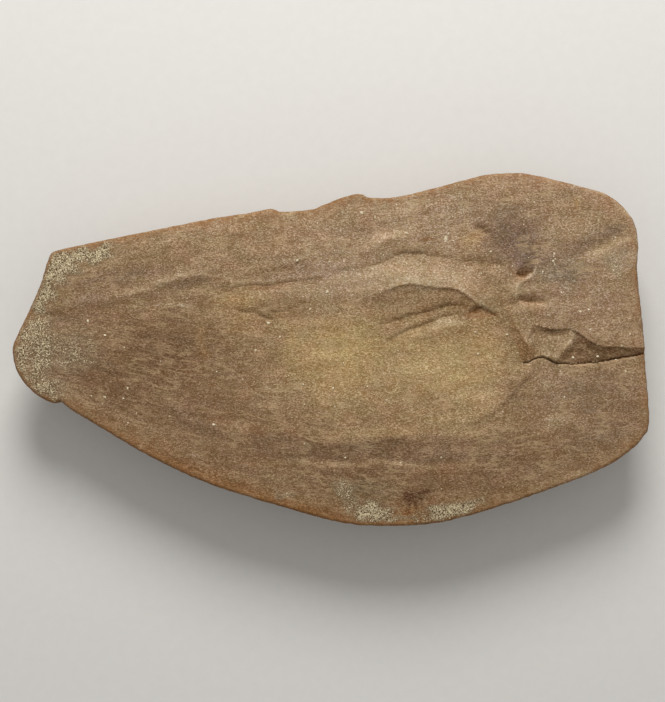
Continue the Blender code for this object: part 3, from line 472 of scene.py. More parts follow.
# How soon the middle of a streak, a stain, a crust and a bowl gives way to its sides
STREAK_SHARPNESS = 1.6
STAIN_FLATNESS = 1.1
CRUST_FLATNESS = 1.6
BOWL_FLATNESS = 1.7

RUST_REACH = 1.5  # how far rust creeps over the face from the rim
WEATHERED_DEPTH = 6.0  # the back is fully weathered this far below the face
FRESH_FROM = 8.0  # height above which a broken side looks fresh
SIDE_BEDS_LENGTH = 15.0
SHARPNESS_GAIN = 1.2  # how soon a sharp edge gets the full painted highlight, and a sharp hollow the full painted shade
CRUST_MARGIN = 0.9  # the crust stops this far short of the rim
PAINTED_EDGE_HIGHLIGHT = 0.3  # how much paler the painted highlight makes a sharp edge
# Painted shade: how much darker a sharp hollow is made
PAINTED_HOLLOW_SHADE = 0.35
PAINTED_LIGHT_HUE = np.array((0.9, 1.05, 1.35))  # the painted shade in hollows is browner than its surroundings, and the painted highlight on edges less yellow
SHADED_SLOPE = 0.45  # a face tilted this much towards -Y, away from the key light, gets the full painted shade
SHADE_WARMTH = np.array((0.0, 0.06, 0.15))

# Where the pale granular crust still clings: centre, half-length, half-width, turn, strength.
Crust = namedtuple("Crust", "x y half_length half_width turn strength")
CRUSTS = {name: Crust(*map(float, shape)) for name, *shape in words("""
nose -70.9 0.4 6.6 8.2 -20 0.75
nose_far -61.5 0.2 6.4 4.6 -14 0.42
nose_foot -67.3 -8.9 5.6 2.6 -24 0.75
top_left -63.2 20 5.6 3.6 30 1.2
top_left_far -57 22.2 6.2 1.8 12 1.2
nose_edge -68 14.6 2.8 7 -20 1.2
belly 9.2 -38 4.4 2.3 -8 1.5
belly_right 28.6 -37.9 6.6 1.7 12 1.5
belly_rim 15 -39.9 11 0.8 0 0.6
belly_left -11.3 -34.4 2.2 1.3 -15 0.55
belly_smear 3.2 -34 2 3.4 14 0.5
sparkle 67.2 20.1 2.6 2.8 0 0.4
""")}

SPECKLED = Crust(22.0, 25.0, 22.0, 7.0, 8, 1.0)  # where small loose specks are common
CRUMB_TRIES = 26000
CRUMB_CHANCE = 0.004
CRUMB_CHANCE_ON_CRUST = 0.22
CRUMB_CHANCE_IN_OVAL = 0.02

# Smallest and largest radius
LARGE_SIZES = (0.45, 0.65)
SPECK_SIZES = (0.2, 0.36)
CRUMB_SIZES = (0.09, 0.2)

# Pale mineral specks on the face, in plan. The first few are larger.
LARGE_SPECKS = rows("""27 26.2, -14.7 6.3, -7.9 20.9, -0.8 13.6, 7.2 32.2""")
SPECKS = rows("""
-2.2 21.4, -0.4 20.6, -3.4 8.9, 17.8 27.3, 10.3 31, 15.4 34, 23.1 35.1, -27.7 27.1, -17.7 -0.1, -20.8 -7,
0.5 -9.1, -6.3 -12.9, 13.1 -11.9, -12 3, -3.2 29.7, 17.8 20.1, 23.3 15.8, 24.2 18, 15.8 -0.3, 0.9 -13.4,
2.9 -3.2, -6.5 -8.2, -48.6 0.5, -47.8 -9.1, -48.8 -11.5, -56.3 -10.9, -53.1 -11.1, -45.7 -15, -47.7 -17.2,
-27.5 -17.6, -26.9 -5.2, -53.1 3.4, -57.1 6.7, 47.7 34.6, 56 32.8, 54.2 28.3, 37.5 23, 54 13.4, 52.3 22.5,
52.3 20.4, 27.5 33.1, 28.7 25.6, 31.4 19.5, 32.2 19.2, 35.3 17.9, 34 4.1, 41.4 3.6, 52.2 21.9, 52.6 21.2,
52.1 20.8, 52.5 19.9, 32.8 18.8, 27.6 27.2, 29.4 26.5, 26.8 25.4, 57 -1.9, 62.8 -1.6, 67.1 -2.4, 34.6 -1,
50.9 8.1, 58.5 8.9, 60.5 9.3, 60.8 4.7, 70.2 3.6, 68.3 0.9, 69.4 -5.1, 54.9 -11.2, 49.6 18.2, 42.2 17.6,
8.6 -8.7, 25.9 -25.3, 3.4 -25.4, -6.2 -22.1, 16.3 -26.6, 25.9 -32.7""")

# ---- Studio. The floor and the light are in metres, and the camera looks straight down.
FLOOR_HALF = 2
KEY_SIZE = 0.3
KEY_POWER = 3.4
KEY_DISTANCE = 0.6
KEY_ELEVATION = math.radians(38)
SKY_STRENGTH = 0.42
CAMERA_LENS = 85
CAMERA_HEIGHT = 389  # millimetres of the stone above its face
CAMERA_SHIFT = 0.35


def smooth_curve(points, per_span=5):
    """A Catmull-Rom curve through rows of numbers, which starts and ends on the first and last row."""
    knots = np.array(points, float)
    knots = np.vstack([2 * knots[0] - knots[1], knots, 2 * knots[-1] - knots[-2]])
    t = (np.arange(per_span) / per_span)[:, None]
    spans = []
    for a, b, c, d in zip(knots, knots[1:], knots[2:], knots[3:]):
        cubic = 3 * b - a - 3 * c + d
        square = 2 * a - 5 * b + 4 * c - d
        spans.append(0.5 * (2 * b + (c - a) * t + square * t**2 + cubic * t**3))
    return np.vstack(spans + [knots[-2:-1]])


def even_steps(line, step):
    """The line resampled to equal steps as near as possible to this one, with both ends kept."""
    run = np.hypot(*np.diff(line[:, :2], axis=0).T)
    at = np.concatenate([[0], np.cumsum(run)])
    count = max(2, round(at[-1] / step) + 1)
    wanted = np.linspace(0, at[-1], count)
    return np.column_stack([np.interp(wanted, at, column) for column in line.T])


def beside(line, plan):
    """Each point's distance from the line, signed positive on its left, and the line's value there."""
    nearest = np.full(len(plan), np.inf)
    signed = np.zeros(len(plan))
    value = np.zeros(len(plan))
    for a, b in zip(line, line[1:]):
        along = b - a
        t = np.clip((plan - a[:2]) @ along[:2] / (along[:2] @ along[:2]), 0, 1)
        off = plan - a[:2] - t[:, None] * along[:2]
        distance = np.hypot(off[:, 0], off[:, 1])
        closer = distance < nearest
        left = along[0] * off[:, 1] - along[1] * off[:, 0] >= 0
        nearest[closer] = distance[closer]
        signed[closer] = np.where(left, distance, -distance)[closer]
        if line.shape[1] > 2:
            value[closer] = (a[2] + t * along[2])[closer]
    return signed, value


def near(line, plan, reach):
    """Which points lie within reach of the box round the line."""
    low_corner = line[:, :2].min(axis=0) - reach
    high_corner = line[:, :2].max(axis=0) + reach
    return ((plan > low_corner) & (plan < high_corner)).all(axis=1)


def along_line(points, plan, left, right, sharpness):
    """The line's value, dying away to its left and right."""
    line = smooth_curve(points)
    close = near(line, plan, 3 * max(left, right))
    signed, value = beside(line, plan[close])
    reach = np.where(signed > 0, left, right)
    result = np.zeros(len(plan))
    result[close] = value * np.exp(-((np.abs(signed) / reach) ** sharpness))
    return result


def in_oval(shape, plan, flatness):
    """1 in the middle of the oval, with sides that ease to 0."""
    angle = math.radians(shape.turn)
    x = plan[:, 0] - shape.x
    y = plan[:, 1] - shape.y
    along = (x * math.cos(angle) + y * math.sin(angle)) / shape.half_length
    across = (y * math.cos(angle) - x * math.sin(angle)) / shape.half_width
    return np.exp(-((along**2 + across**2) ** flatness))


def facet_height(corners, plan):
    """The height of a triangle's plane at the points inside it, and which those are."""
    a, b, c = np.array(corners, float)
    u, v = np.linalg.solve(np.array([a[:2] - c[:2], b[:2] - c[:2]]).T, (plan - c[:2]).T)
    inside = (u >= 0) & (v >= 0) & (u + v <= 1)
    return np.where(inside, u * a[2] + v * b[2] + (1 - u - v) * c[2], 0), inside


def lumps(points, size, seed):
    """A smooth pseudo-random number between about -1 and 1 at each point."""
    places = np.column_stack([points / size, np.full(len(points), seed)])
    return np.array([noise.noise(place) for place in places.tolist()])


def drift(plan, size, amount, seeds):
    """A smooth pseudo-random shift of each point."""
    return amount * np.column_stack([lumps(plan, size, seed) for seed in seeds])


def wandered(plan):
    """The plan with its lines made to wander, as natural edges do."""
    moved = plan.copy()
    for seed, (size, amount) in enumerate(WANDER):
        for axis in (0, 1):
            moved[:, axis] += amount * lumps(plan, size, 11.3 + seed + 5.7 * axis)
    return moved


def rim_distance(rim, plan):
    return np.abs(beside(np.vstack([rim, rim[:1]]), plan)[0])


def crust_cover(plan):
    """How much of the pale crust covers each point, 0 to 1."""
    moved = plan + drift(plan, 3.0, 2.0, (21.1, 27.9))
    cover = np.zeros(len(plan))
    for crust in CRUSTS.values():
        cover = np.maximum(cover, crust.strength * in_oval(crust, moved, CRUST_FLATNESS))
    return np.clip(cover * (1 + 0.9 * lumps(plan, 2.4, 33.0)), 0, 1)


def bed_places(plan):
    """Each point's place among the beds: along them, shortened, and across them."""
    top = np.interp(plan[:, 0], *smooth_curve(BEDS_TOP).T)
    foot = np.interp(plan[:, 0], *smooth_curve(BEDS_FOOT).T)
    return np.column_stack([plan[:, 0] / BEDS_LENGTH, BEDS_DEPTH * (plan[:, 1] - foot) / (top - foot)])


def face_height(plan, inward):
    """The relief of the split face above its general level."""
    moved = wandered(plan)
    height = -RIM_DIP * np.exp(-inward / RIM_DIP_REACH)
    height += SWELL * lumps(plan, SWELL_SIZE, 3.7)
    for bowl in BOWLS.values():
        height += bowl.height * in_oval(bowl, moved, BOWL_FLATNESS)
    for fold in (*FOLDS.values(), SLAB_DROP):
        height += along_line(fold.points, moved, fold.left, fold.right, fold.sharpness)
    done = np.zeros(len(plan), bool)
    for names in FACETS.split(","):
        cut, inside = facet_height([CORNERS[name] for name in names.split()], moved)
        height += np.where(done, 0, cut)
        done |= inside
    fold = CRACK_CUT
    height += np.where(done, 0, along_line(fold.points, moved, fold.left, fold.right, fold.sharpness))
    bedding = bed_places(plan)
    crust = crust_cover(plan)
    for seed, (size, amount) in enumerate(ROUGHNESS):
        height += amount * lumps(plan, size, 41.0 + seed)
    for seed, (size, amount) in enumerate(BEDDING):
        height += amount * lumps(bedding, size, 51.0 + seed)
    for seed, (size, amount) in enumerate(CRUST_GRAIN):
        height += amount * crust * np.abs(lumps(plan, size, 61.0 + seed))
    short = np.clip(1 - inward / RIM_ROUND, 0, 1)
    return height - RIM_ROUND * (1 - np.sqrt(1 - short**2))


def ring_mean(values, length):
    """Each row's mean with its neighbours along the rim, over this length."""
    reach = round(length / RIM_STEP / 2)
    index = np.arange(len(values))[:, None] + np.arange(-reach, reach + 1)
    return values[index % len(values)].mean(axis=1)


def rim_outline():
    """The plan of the stone as one closed ring of points, and how broken each one's side is, 0 to 1."""
    ring = []
    broken = []
    for stretch, side in OUTLINE:
        points = even_steps(smooth_curve(stretch), RIM_STEP)[:-1]
        ring.append(points)
        broken += [side] * len(points)
    ring = np.vstack(ring)
    outward = ring / np.hypot(*ring.T)[:, None]
    for seed, (size, amount) in enumerate(RAGGED_RIM):
        ring -= outward * amount * np.abs(lumps(ring, size, 95.0 + seed))[:, None]
    ring -= (ring.max(axis=0) + ring.min(axis=0)) / 2
    return ring, ring_mean(np.array(broken), BREAK_BLEND)


def inside_rim(plan, rim, margin):
    """Which points lie inside the rim by at least this margin."""
    x, y = plan.T
    crossings = np.zeros(len(plan), int)
    for a, b in zip(rim, np.roll(rim, -1, axis=0)):
        spans = (a[1] > y) != (b[1] > y)
        with np.errstate(divide="ignore", invalid="ignore"):
            crossings += spans & (x < a[0] + (y - a[1]) * (b[0] - a[0]) / (b[1] - a[1]))
    return (crossings % 2 == 1) & (rim_distance(rim, plan) > margin)


def even_grid(low_corner, high_corner, step):
    """Points of a triangular grid over a box."""
    across = np.arange(low_corner[0], high_corner[0], step)
    up = np.arange(low_corner[1], high_corner[1], step * math.sqrt(0.75))
    return np.array([(x + (row % 2) * step / 2, y) for row, y in enumerate(up) for x in across])


def face_mesh(rim):
    """Points and triangles of the face in plan: a close grid, and a closer one beside the crack."""
    inset = rim * (1 - 0.5 * RIM_ROUND / np.hypot(*rim.T))[:, None]
    lines = [smooth_curve(FOLDS[name].points)[:, :2] for name in CRISP]
    lines += [smooth_curve(CRACK)[:, :2]]
    lines += [np.array([CORNERS[name][:2] for name in ridge.split()]) for ridge in FACET_RIDGES.split(",")]
    every = np.vstack(lines)

    def close(plan):
        moved = wandered(plan)
        found = np.zeros(len(plan), bool)
        for line in lines:
            box = near(line, moved, FINE_REACH)
            found[box] |= np.abs(beside(line, moved[box])[0]) < FINE_REACH
        return found

    coarse = even_grid(rim.min(axis=0), rim.max(axis=0), GRID_STEP)
    coarse = coarse[inside_rim(coarse, rim, RIM_ROUND)]
    fine = even_grid(every.min(axis=0) - FINE_REACH, every.max(axis=0) + FINE_REACH, FINE_STEP)
    fine = fine[inside_rim(fine, rim, FINE_STEP)]
    points = [rim, inset, coarse[~close(coarse)], fine[close(fine)]]
    flat = [Vector(p) for p in np.vstack(points)]
    edges = [(i, (i + 1) % len(rim)) for i in range(len(rim))]
    plan, _, triangles, *_ = delaunay_2d_cdt(flat, edges, [], 1, 1e-5)
    return np.array([tuple(p) for p in plan]), triangles


def side_profile(wall):
    """Rings down the side and under the back, as (fraction of the way in, fraction of the height)."""
    rings = [(0.0, 1 - wall * down) for down in np.linspace(0, 1, WALL_RINGS + 1)[1:]]
    for inward in np.linspace(0, 1, BACK_RINGS + 1)[1:] ** 1.5:
        rings.append((inward, (1 - wall) * (1 - math.sqrt(1 - (1 - inward) ** 2))))
    return rings


def add_side_and_back(bm, loop, rim, broken):
    """Adds ring after ring down from the face's rim, and closes them with the flat resting patch."""
    half_length, half_width = REST_PATCH
    top = [corner.co.copy() for corner in loop]
    nearest = [np.argmin(np.hypot(*(rim - (p.x, p.y)).T)) for p in top]
    gentle = [Vector(p) for p in ring_mean(rim, BACK_SMOOTHING)]
    profiles = []
    for i in nearest:
        profiles.append(side_profile((RIM_WALL + (BREAK_WALL - RIM_WALL) * broken[i]) / THICKNESS))
    above = loop
    for ring in range(len(profiles[0])):
        below = []
        for p, i, profile in zip(top, nearest, profiles):
            inward, level = profile[ring]
            angle = math.atan2(p.y / half_width, p.x / half_length)
            foot = Vector((half_length * math.cos(angle), half_width * math.sin(angle)))
            plan = p.xy.lerp(gentle[i], min(1, 4 * inward)).lerp(foot, inward)
            at = (p.x / HACKLE_SIZE, (p.y + 40 * level) / HACKLE_SIZE, 8.2)
            rough = HACKLE * broken[i] * (1 - inward) * noise.noise(at)
            bed = noise.noise((p.x / BED_WAVE, p.y / BED_WAVE, 3.3 * (ring // BED_RINGS)))
            rough = abs(rough) + BED_LEDGE * broken[i] * (1 - inward) * (0.5 + bed) * (inward < 0.2)
            bump = noise.noise((plan.x / BACK_LUMP_SIZE, plan.y / BACK_LUMP_SIZE, 5.1))
            lump = BACK_LUMP * bump * 4 * inward * (1 - inward)
            lean = BREAK_LEAN * broken[i] * (1 - level) * (1 - inward)
            plan -= plan.normalized() * (max(0, rough) + lean)
            z = level * p.z + lump * (inward < 1)
            below.append(bm.verts.new((plan.x, plan.y, max(0.0, z))))
        for i in range(len(loop)):
            j = (i + 1) % len(loop)
            bm.faces.new((above[i], above[j], below[j], below[i]))
        above = below
    bm.faces.new(above)


def stone_mesh(rim, broken):
    """The whole stone, in millimetres, and how many of its points are on the face."""
    bm = bmesh.new()
    plan, triangles = face_mesh(rim)
    inward = rim_distance(rim, plan)
    height = THICKNESS + face_height(plan, inward)
    corners = [bm.verts.new((x, y, z)) for (x, y), z in zip(plan, height)]
    for triangle in triangles:
        bm.faces.new([corners[i] for i in triangle])
    border = [edge for edge in bm.edges if edge.is_boundary]
    start = min(border, key=lambda edge: edge.verts[0].co.x)
    loop = [start.verts[0]]
    came_by = start
    while len(loop) < len(border):
        here = loop[-1]
        came_by = next(edge for edge in here.link_edges if edge.is_boundary and edge is not came_by)
        loop.append(came_by.other_vert(here))
    add_side_and_back(bm, loop, rim, broken)
    bmesh.ops.recalc_face_normals(bm, faces=bm.faces)
    mesh = bpy.data.meshes.new("stone")
    bm.to_mesh(mesh)
    bm.free()
    mesh.shade_smooth()
    return mesh, len(corners)


def linear(colour):
    """The linear value of a colour given as it looks on screen."""
    return ((np.array(colour) / 255 + 0.055) / 1.055) ** 2.4


def face_tint(plan):
    """The colour of each point of the face, before the grain, with the painted highlights and shade that
    some stains, patches and streaks lay on it.
    """
    tint = np.tile(linear(COLOURS["brown"]), (len(plan), 1))

    def lay(colour, share):
        tint[:] += np.clip(share, 0, 1)[:, None] * (linear(COLOURS[colour]) - tint)

    moved = plan + drift(plan, 6.0, 1.5, (71.0, 77.0))
    moved += drift(plan, 2.0, 0.7, (73.0, 79.0))
    patchy = 1 + 0.3 * lumps(bed_places(plan), 1.8, 81.0) + 0.2 * lumps(plan, 1.2, 83.0)
    for stain in STAINS.values():
        lay(stain.colour, stain.strength * in_oval(stain, moved, STAIN_FLATNESS) * patchy)
    lines = wandered(plan)
    for patch in PATCHES.values():
        within = np.where(inside_rim(lines, patch.points, 0), 1, -1) * rim_distance(patch.points, lines)
        lay(patch.colour, patch.strength * np.clip(0.5 + within / PATCH_EDGE, 0, 1) * patchy)
    for colour, points, width in STREAKS.values():
        lay(colour, patchy * along_line(points, lines, width, width, STREAK_SHARPNESS))
    for points in SCRATCHES:
        marked = [(x, y, SCRATCH_STRENGTH) for x, y in points]
        lay("cream", along_line(marked, plan, SCRATCH_WIDTH, SCRATCH_WIDTH, SCRATCH_SHARPNESS))
    return tint


def relief_sharpness(mesh, places):
    """How far each point stands out from its neighbours, or lies below them: -1 to 1."""
    ends = np.empty(len(mesh.edges) * 2, np.int32)
    mesh.edges.foreach_get("vertices", ends)
    one, other = ends.reshape(-1, 2).T
    from_, to = np.concatenate([one, other]), np.concatenate([other, one])
    length = np.hypot(*(places[from_, :2] - places[to, :2]).T)
    count = np.bincount(from_, minlength=len(places))
    rise = np.bincount(from_, places[from_, 2] - places[to, 2], len(places)) / count
    reach = np.bincount(from_, length, len(places)) / count + 1e-3
    sharp = rise / reach**2
    sharp = 0.5 * sharp + 0.5 * np.bincount(from_, sharp[to], len(places)) / count
    return np.clip(SHARPNESS_GAIN * sharp, -1, 1)


def paint(mesh, on_face, rim, broken):
    """Stores the stone's colour, with painted highlights on sharp edges and painted shade in hollows and on
    faces tilted away from the key light, and its crust, rust, weathering and bedding on its points.
    """
    count = len(mesh.vertices)
    places = np.empty(count * 3, np.float32)
    mesh.vertices.foreach_get("co", places)
    places = places.reshape(-1, 3).astype(float)
    plan = places[:, :2]
    inward = rim_distance(rim, plan)
    face = np.arange(count) < on_face
    tint = np.tile(np.append(linear(COLOURS["brown"]), 1), (count, 1))
    tint[face, :3] = face_tint(plan[face])
    # Painted highlight on sharp raised edges and painted shade in sharp hollows, from how far each point
    # stands out from its neighbours or lies below them
    edge_light_and_hollow_shade = relief_sharpness(mesh, places)[face]
    tint[face, :3] *= 1 + np.where(edge_light_and_hollow_shade > 0, PAINTED_EDGE_HIGHLIGHT * edge_light_and_hollow_shade, PAINTED_HOLLOW_SHADE * edge_light_and_hollow_shade)[:, None] * PAINTED_LIGHT_HUE
    # Painted shade: faces tilted towards -Y, away from the key light, are darkened and browned
    normals = np.empty(count * 3, np.float32)
    mesh.vertices.foreach_get("normal", normals)
    shaded = np.clip(-normals.reshape(-1, 3)[face, 1] / SHADED_SLOPE, 0, 1)
    tint[face, :3] *= 1 - shaded[:, None] * SHADE_WARMTH
    down = np.clip((THICKNESS - places[:, 2]) / WEATHERED_DEPTH, 0, 1)
    crust = crust_cover(plan) * (1 - 0.85 * np.exp(-(inward / CRUST_MARGIN) ** 2))
    crust *= np.where(face, 1, np.clip(1 - 2 * down, 0, 1))
    edge = np.exp(-(inward / RUST_REACH) ** 1.5) * (1 + 0.8 * lumps(plan, 4.0, 91.0))
    towards = rim / np.hypot(*rim.T)[:, None] @ (plan / (np.hypot(*plan.T)[:, None] + 1e-6)).T
    fresh = broken[towards.argmax(axis=0)]
    rust = np.where(face, edge * (1 - crust), 1 - 0.6 * fresh * (down < 1))
    weathered = np.where(face, 0, down * (1 - fresh * np.clip((places[:, 2] - FRESH_FROM) / 4, 0, 1)))
    bedding = np.column_stack([bed_places(plan), np.where(face, 0, plan[:, 1] / SIDE_BEDS_LENGTH)])
    bedding[~face, 1] = places[~face, 2]
    layers = (
        ("crust", "FLOAT", "value", crust),
        ("rust", "FLOAT", "value", np.clip(rust, 0, 1)),
        ("weathered", "FLOAT", "value", weathered),
        ("tint", "FLOAT_COLOR", "color", tint),
        ("bedding", "FLOAT_VECTOR", "vector", bedding),
    )
    for name, kind, field, values in layers:
        layer = mesh.attributes.new(name, kind, "POINT")
        layer.data.foreach_set(field, values.astype(np.float32).ravel())


def colour4(colour):
    return (*linear(colour), 1)


class Nodes:
    """The nodes of a new material. Places are in millimetres of the stone."""

    def __init__(self, name):
        self.material = bpy.data.materials.new(name)
        self.material.use_nodes = True
        self.tree = self.material.node_tree
        self.shader = self.tree.nodes["Principled BSDF"].inputs
        place = self.add("ShaderNodeTexCoord").outputs["Object"]
        scaled = self.add("ShaderNodeVectorMath", {0: place, "Scale": 1 / MM}, operation="SCALE")
        self.place = scaled.outputs[0]

    def add(self, kind, inputs=(), **settings):
        """A new node, with its settings, and its inputs linked or set by name or number."""
        made = self.tree.nodes.new(kind)
        for name, value in settings.items():
            setattr(made, name, value)
        for key, value in dict(inputs).items():
            self.set(made.inputs[key], value)
        return made

    def set(self, socket, value):
        if isinstance(value, bpy.types.NodeSocket):
            self.tree.links.new(value, socket)
        else:
            socket.default_value = value

    def attribute(self, name, output="Fac"):
        return self.add("ShaderNodeAttribute", attribute_name=name).outputs[output]

    def cloud(self, place, scale, detail=2.0, roughness=0.5, bent=0.0):
        """Smooth noise about 0.5."""
        settings = {"Vector": place, "Scale": scale, "Detail": detail, "Roughness": roughness}
        return self.add("ShaderNodeTexNoise", settings | {"Distortion": bent}).outputs["Fac"]

    def spread(self, value, low_in, high_in, low_out=0.0, high_out=1.0):
        """The value with one range mapped to another, and held to it."""
        settings = {"Value": value, 1: low_in, 2: high_in, 3: low_out, 4: high_out}
        return self.add("ShaderNodeMapRange", settings).outputs[0]

    def maths(self, operation, *values):
        return self.add("ShaderNodeMath", enumerate(values), operation=operation).outputs[0]

    def times(self, first, second):
        return self.maths("MULTIPLY", first, second)

    def blend(self, factor, first, second, kind="MIX"):
        """One colour over another."""
        inputs = {"Factor": factor, 6: first, 7: second}
        return self.add("ShaderNodeMix", inputs, data_type="RGBA", blend_type=kind).outputs[2]


def ironstone():
    """Fine-grained brown stone with ochre, rust and a pale granular crust."""
    n = Nodes("ironstone")
    place = n.place
    tint = n.attribute("tint", "Color")
    crust = n.attribute("crust")
    rust = n.attribute("rust")
    bedding = n.attribute("bedding", "Vector")

    # Sand grains, drawn out along the bedding, and wisps of bedding among them.
    grain = n.add("ShaderNodeVectorMath", {0: place, 1: GRAIN}, operation="MULTIPLY").outputs[0]
    cells = n.add("ShaderNodeTexVoronoi", {"Vector": place, "Scale": 4.0})
    grains = n.add("ShaderNodeSeparateColor", {0: cells.outputs["Color"]}).outputs
    streaks = n.cloud(grain, 4.8, 1.0, bent=0.7)
    parts = (
        (grains[0], 0.34),
        (n.cloud(place, 5.2, 1.0), 0.6),
        (streaks, 1.3),
        (n.cloud(bedding, 1.3, 4.0, 0.65), 0.2),
        (n.cloud(bedding, 0.4), 0.35),
        (n.cloud(place, 0.35, 3.0), 0.3),
        (n.cloud(bedding, 0.16, 3.0), 0.25),
        (n.cloud(place, 0.12, 3.0), 0.15),
    )
    light = 0.5
    for value, amount in parts:
        centred = n.maths("SUBTRACT", value, 0.5)
        light = n.maths("MULTIPLY_ADD", centred, amount, light)
    dull = n.add("ShaderNodeRGBToBW", {0: tint}).outputs[0]
    # Dark stone shows its grain more than pale stone.
    apart = n.maths("SUBTRACT", light, 0.5)
    apart = n.times(apart, n.spread(dull, 0.24, 0.33, 0.94, 0.72))
    light = n.maths("ADD", apart, 0.5)
    light = n.maths("MULTIPLY_ADD", n.times(apart, apart), 1.5, light)
    light = n.spread(light, 0.2, 1.0)
    shade = n.blend(light, (0.42, 0.28, 0.0, 1), (1.75, 1.96, 2.5, 1))
    base = n.blend(1.0, tint, shade, "MULTIPLY")
    for clouds, cooler, warmer in (
        (n.cloud(bedding, 0.4), (0.99, 1.0, 1.03, 1), (1.01, 1.0, 0.95, 1)),
        (n.cloud(place, 0.25), (0.98, 1.01, 0.99, 1), (1.03, 0.98, 0.98, 1)),
    ):
        base = n.blend(1.0, base, n.blend(n.spread(clouds, 0.35, 0.65), cooler, warmer), "MULTIPLY")
    flecks = n.spread(n.cloud(grain, 5.5, 1.0), 0.62, 0.78, 0.0, 0.6)
    flecks = n.times(flecks, n.spread(dull, 0.12, 0.3, 1.0, 0.1))
    base = n.blend(flecks, base, colour4((204, 178, 142)))
    wisp = n.maths("SUBTRACT", n.cloud(bedding, 0.55, 4.0, 0.55), 0.5)
    wisp = n.spread(n.maths("ABSOLUTE", wisp, 0.0), 0.05, 0.0, 0.0, 0.5)
    wisp = n.times(wisp, n.spread(n.cloud(place, 0.2), 0.42, 0.6))
    base = n.blend(wisp, base, colour4((188, 160, 122)))

    # Rust creeps in from the rim, and covers the sides and the back.
    rusty = n.times(rust, n.spread(n.cloud(place, 0.5, 4.0), 0.3, 0.62))
    rusted = n.blend(n.cloud(place, 1.3, 3.0), colour4((96, 62, 36)), colour4((166, 120, 74)))
    base = n.blend(n.times(rusty, 0.75), base, rusted)

    # The weathered back is darker, with ochre and pale patches and dark pits.
    weathered = n.attribute("weathered")
    dusty = n.spread(n.cloud(place, 0.35, 5.0, 0.6), 0.4, 0.62)
    hide = n.blend(dusty, colour4((92, 72, 54)), colour4((148, 122, 92)))
    ochre = n.spread(n.cloud(place, 0.16, 4.0, 0.6), 0.5, 0.64, 0.0, 0.7)
    hide = n.blend(ochre, hide, colour4((138, 94, 56)))
    chalky = n.spread(n.cloud(place, 0.6, 6.0, 0.7), 0.56, 0.66, 0.0, 0.6)
    hide = n.blend(chalky, hide, colour4((176, 156, 124)))
    hide = n.blend(0.8, hide, shade, "MULTIPLY")
    base = n.blend(n.times(weathered, 0.9), base, hide)

    # The crust is pale grains with dark gaps between them.
    base = n.blend(n.times(crust, 0.55), base, colour4((150, 132, 104)))
    clumps = n.cloud(place, 3.7, 2.0, 0.6, bent=0.5)
    cover = n.maths("MULTIPLY_ADD", crust, 0.2, clumps)
    cover = n.maths("MULTIPLY_ADD", n.cloud(place, 0.7), 0.2, cover)
    cover = n.spread(cover, 0.72, 0.79)
    cover = n.times(cover, n.spread(crust, 0.02, 0.25))
    gaps = n.times(crust, n.spread(clumps, 0.52, 0.43))
    base = n.blend(gaps, base, colour4((74, 50, 27)))
    pale = n.blend(grains[0], colour4((166, 147, 113)), colour4((240, 222, 182)))
    base = n.blend(n.times(cover, 0.85), base, pale)
    n.set(n.shader["Base Color"], base)

    rough = n.spread(n.cloud(place, 1.0, 3.0), 0.3, 0.7, 0.82, 0.97)
    n.set(n.shader["Roughness"], rough)
    n.set(n.shader["Specular IOR Level"], 0.12)
    relief = n.maths("MULTIPLY_ADD", streaks, 1.5, grains[0])
    relief = n.maths("MULTIPLY_ADD", cover, 1.2, relief)
    bump = n.add("ShaderNodeBump", {"Strength": 0.7, "Distance": 0.1 * MM, "Height": relief})
    n.set(n.shader["Normal"], bump.outputs[0])
    return n.material


def pale_mineral():
    """Chalky crumbs of mineral."""
    n = Nodes("pale_mineral")
    shade = n.blend(n.cloud(n.place, 3.0), colour4((190, 170, 134)), colour4((238, 226, 198)))
    n.set(n.shader["Base Color"], shade)
    rough = n.spread(n.cloud(n.place, 5.0), 0.3, 0.7, 0.6, 0.85)
    n.set(n.shader["Roughness"], rough)
    return n.material


def floor_paper():
    """Pale matt studio paper."""
    n = Nodes("floor_paper")
    shade = n.blend(n.cloud(n.place, 0.4, 4.0), colour4((214, 211, 205)), colour4((220, 217, 211)))
    n.set(n.shader["Base Color"], shade)
    n.set(n.shader["Roughness"], 0.9)
    return n.material


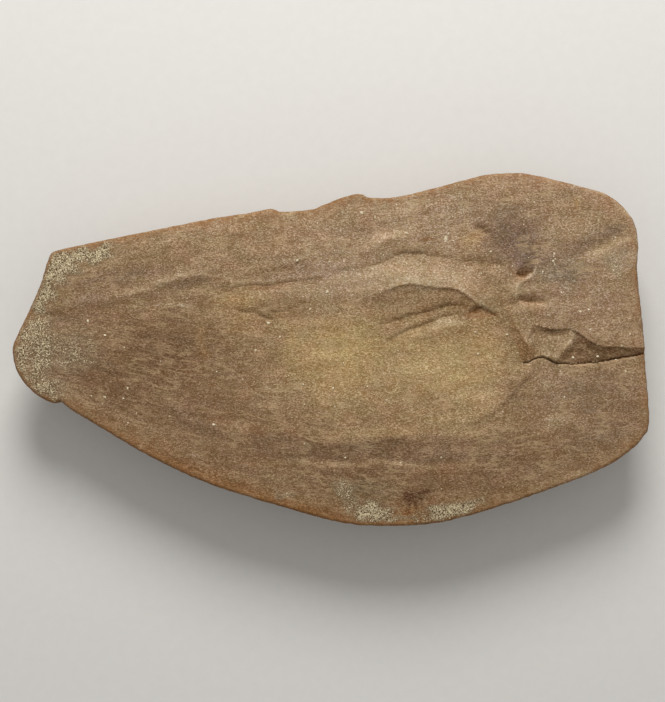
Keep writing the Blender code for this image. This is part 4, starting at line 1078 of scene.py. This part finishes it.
def crumbs(rim):
    """The pale specks, each a small crumb half sunk in the face, joined in one mesh."""
    random = np.random.default_rng(12)
    scattered = random.uniform(rim.min(axis=0), rim.max(axis=0), (CRUMB_TRIES, 2))
    scattered = scattered[inside_rim(scattered, rim, 0.5)]
    chance = CRUMB_CHANCE + CRUMB_CHANCE_ON_CRUST * crust_cover(scattered) ** 2
    chance += CRUMB_CHANCE_IN_OVAL * in_oval(SPECKLED, scattered, 1.2)
    scattered = scattered[random.uniform(0, 1, len(scattered)) < chance]
    plan = np.vstack([LARGE_SPECKS, SPECKS, scattered])
    sizes = [LARGE_SIZES] * len(LARGE_SPECKS) + [SPECK_SIZES] * len(SPECKS) + [CRUMB_SIZES] * len(scattered)
    height = THICKNESS + face_height(plan, rim_distance(rim, plan))
    bm = bmesh.new()
    for (x, y), z, (smallest, largest) in zip(plan, height, sizes):
        size = random.uniform(smallest, largest)
        made = bmesh.ops.create_icosphere(bm, subdivisions=1, radius=size)["verts"]
        shape = random.uniform(0.6, 1.15, 3) * (1, 1, 0.6)
        jitter = random.uniform(-0.25, 0.25, (len(made), 3)) * size
        for corner, off in zip(made, jitter):
            corner.co = Vector((x, y, z)) + Vector(corner.co * Vector(shape)) + Vector(off)
    bmesh.ops.scale(bm, vec=(MM, MM, MM), verts=bm.verts)
    mesh = bpy.data.meshes.new("pale_grains")
    bm.to_mesh(mesh)
    bm.free()
    return mesh


def link(obj):
    bpy.context.scene.collection.objects.link(obj)
    return obj


def add_stone():
    rim, broken = rim_outline()
    mesh, on_face = stone_mesh(rim, broken)
    paint(mesh, on_face, rim, broken)
    places = np.empty(len(mesh.vertices) * 3, np.float32)
    mesh.vertices.foreach_get("co", places)
    mesh.vertices.foreach_set("co", places * MM)
    mesh.materials.append(ironstone())
    stone = link(bpy.data.objects.new("stone", mesh))
    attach(stone, "root")
    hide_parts("nodule_half")
    grains = link(bpy.data.objects.new("pale_grains", crumbs(rim)))
    grains.data.materials.append(pale_mineral())
    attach(grains, "root")


def add_studio():
    floor = bpy.data.meshes.new("floor")
    corners = [(x * FLOOR_HALF, y * FLOOR_HALF, 0) for x, y in ((-1, -1), (1, -1), (1, 1), (-1, 1))]
    floor.from_pydata(corners, [], [(0, 1, 2, 3)])
    floor.materials.append(floor_paper())
    link(bpy.data.objects.new("floor", floor))
    key = bpy.data.lights.new("key", "AREA")
    key.shape = "DISK"
    key.size = KEY_SIZE
    key.energy = KEY_POWER
    lamp = link(bpy.data.objects.new("key", key))
    lamp.location = (0.0, KEY_DISTANCE * math.cos(KEY_ELEVATION), KEY_DISTANCE * math.sin(KEY_ELEVATION))
    lamp.rotation_euler = (KEY_ELEVATION - math.pi / 2, 0, 0)
    world = bpy.data.worlds.new("studio")
    bpy.context.scene.world = world
    world.use_nodes = True
    background = world.node_tree.nodes["Background"]
    background.inputs["Color"].default_value = (1, 1, 1, 1)
    background.inputs["Strength"].default_value = SKY_STRENGTH
    bpy.context.scene.view_settings.view_transform = "Standard"
    camera = bpy.data.cameras.new("camera")
    camera.lens = CAMERA_LENS
    camera.sensor_width = 36
    viewer = link(bpy.data.objects.new("camera", camera))
    viewer.location = (CAMERA_SHIFT * MM, -CAMERA_SHIFT * MM, (THICKNESS + CAMERA_HEIGHT) * MM)
    bpy.context.scene.camera = viewer


add_stone()
add_studio()
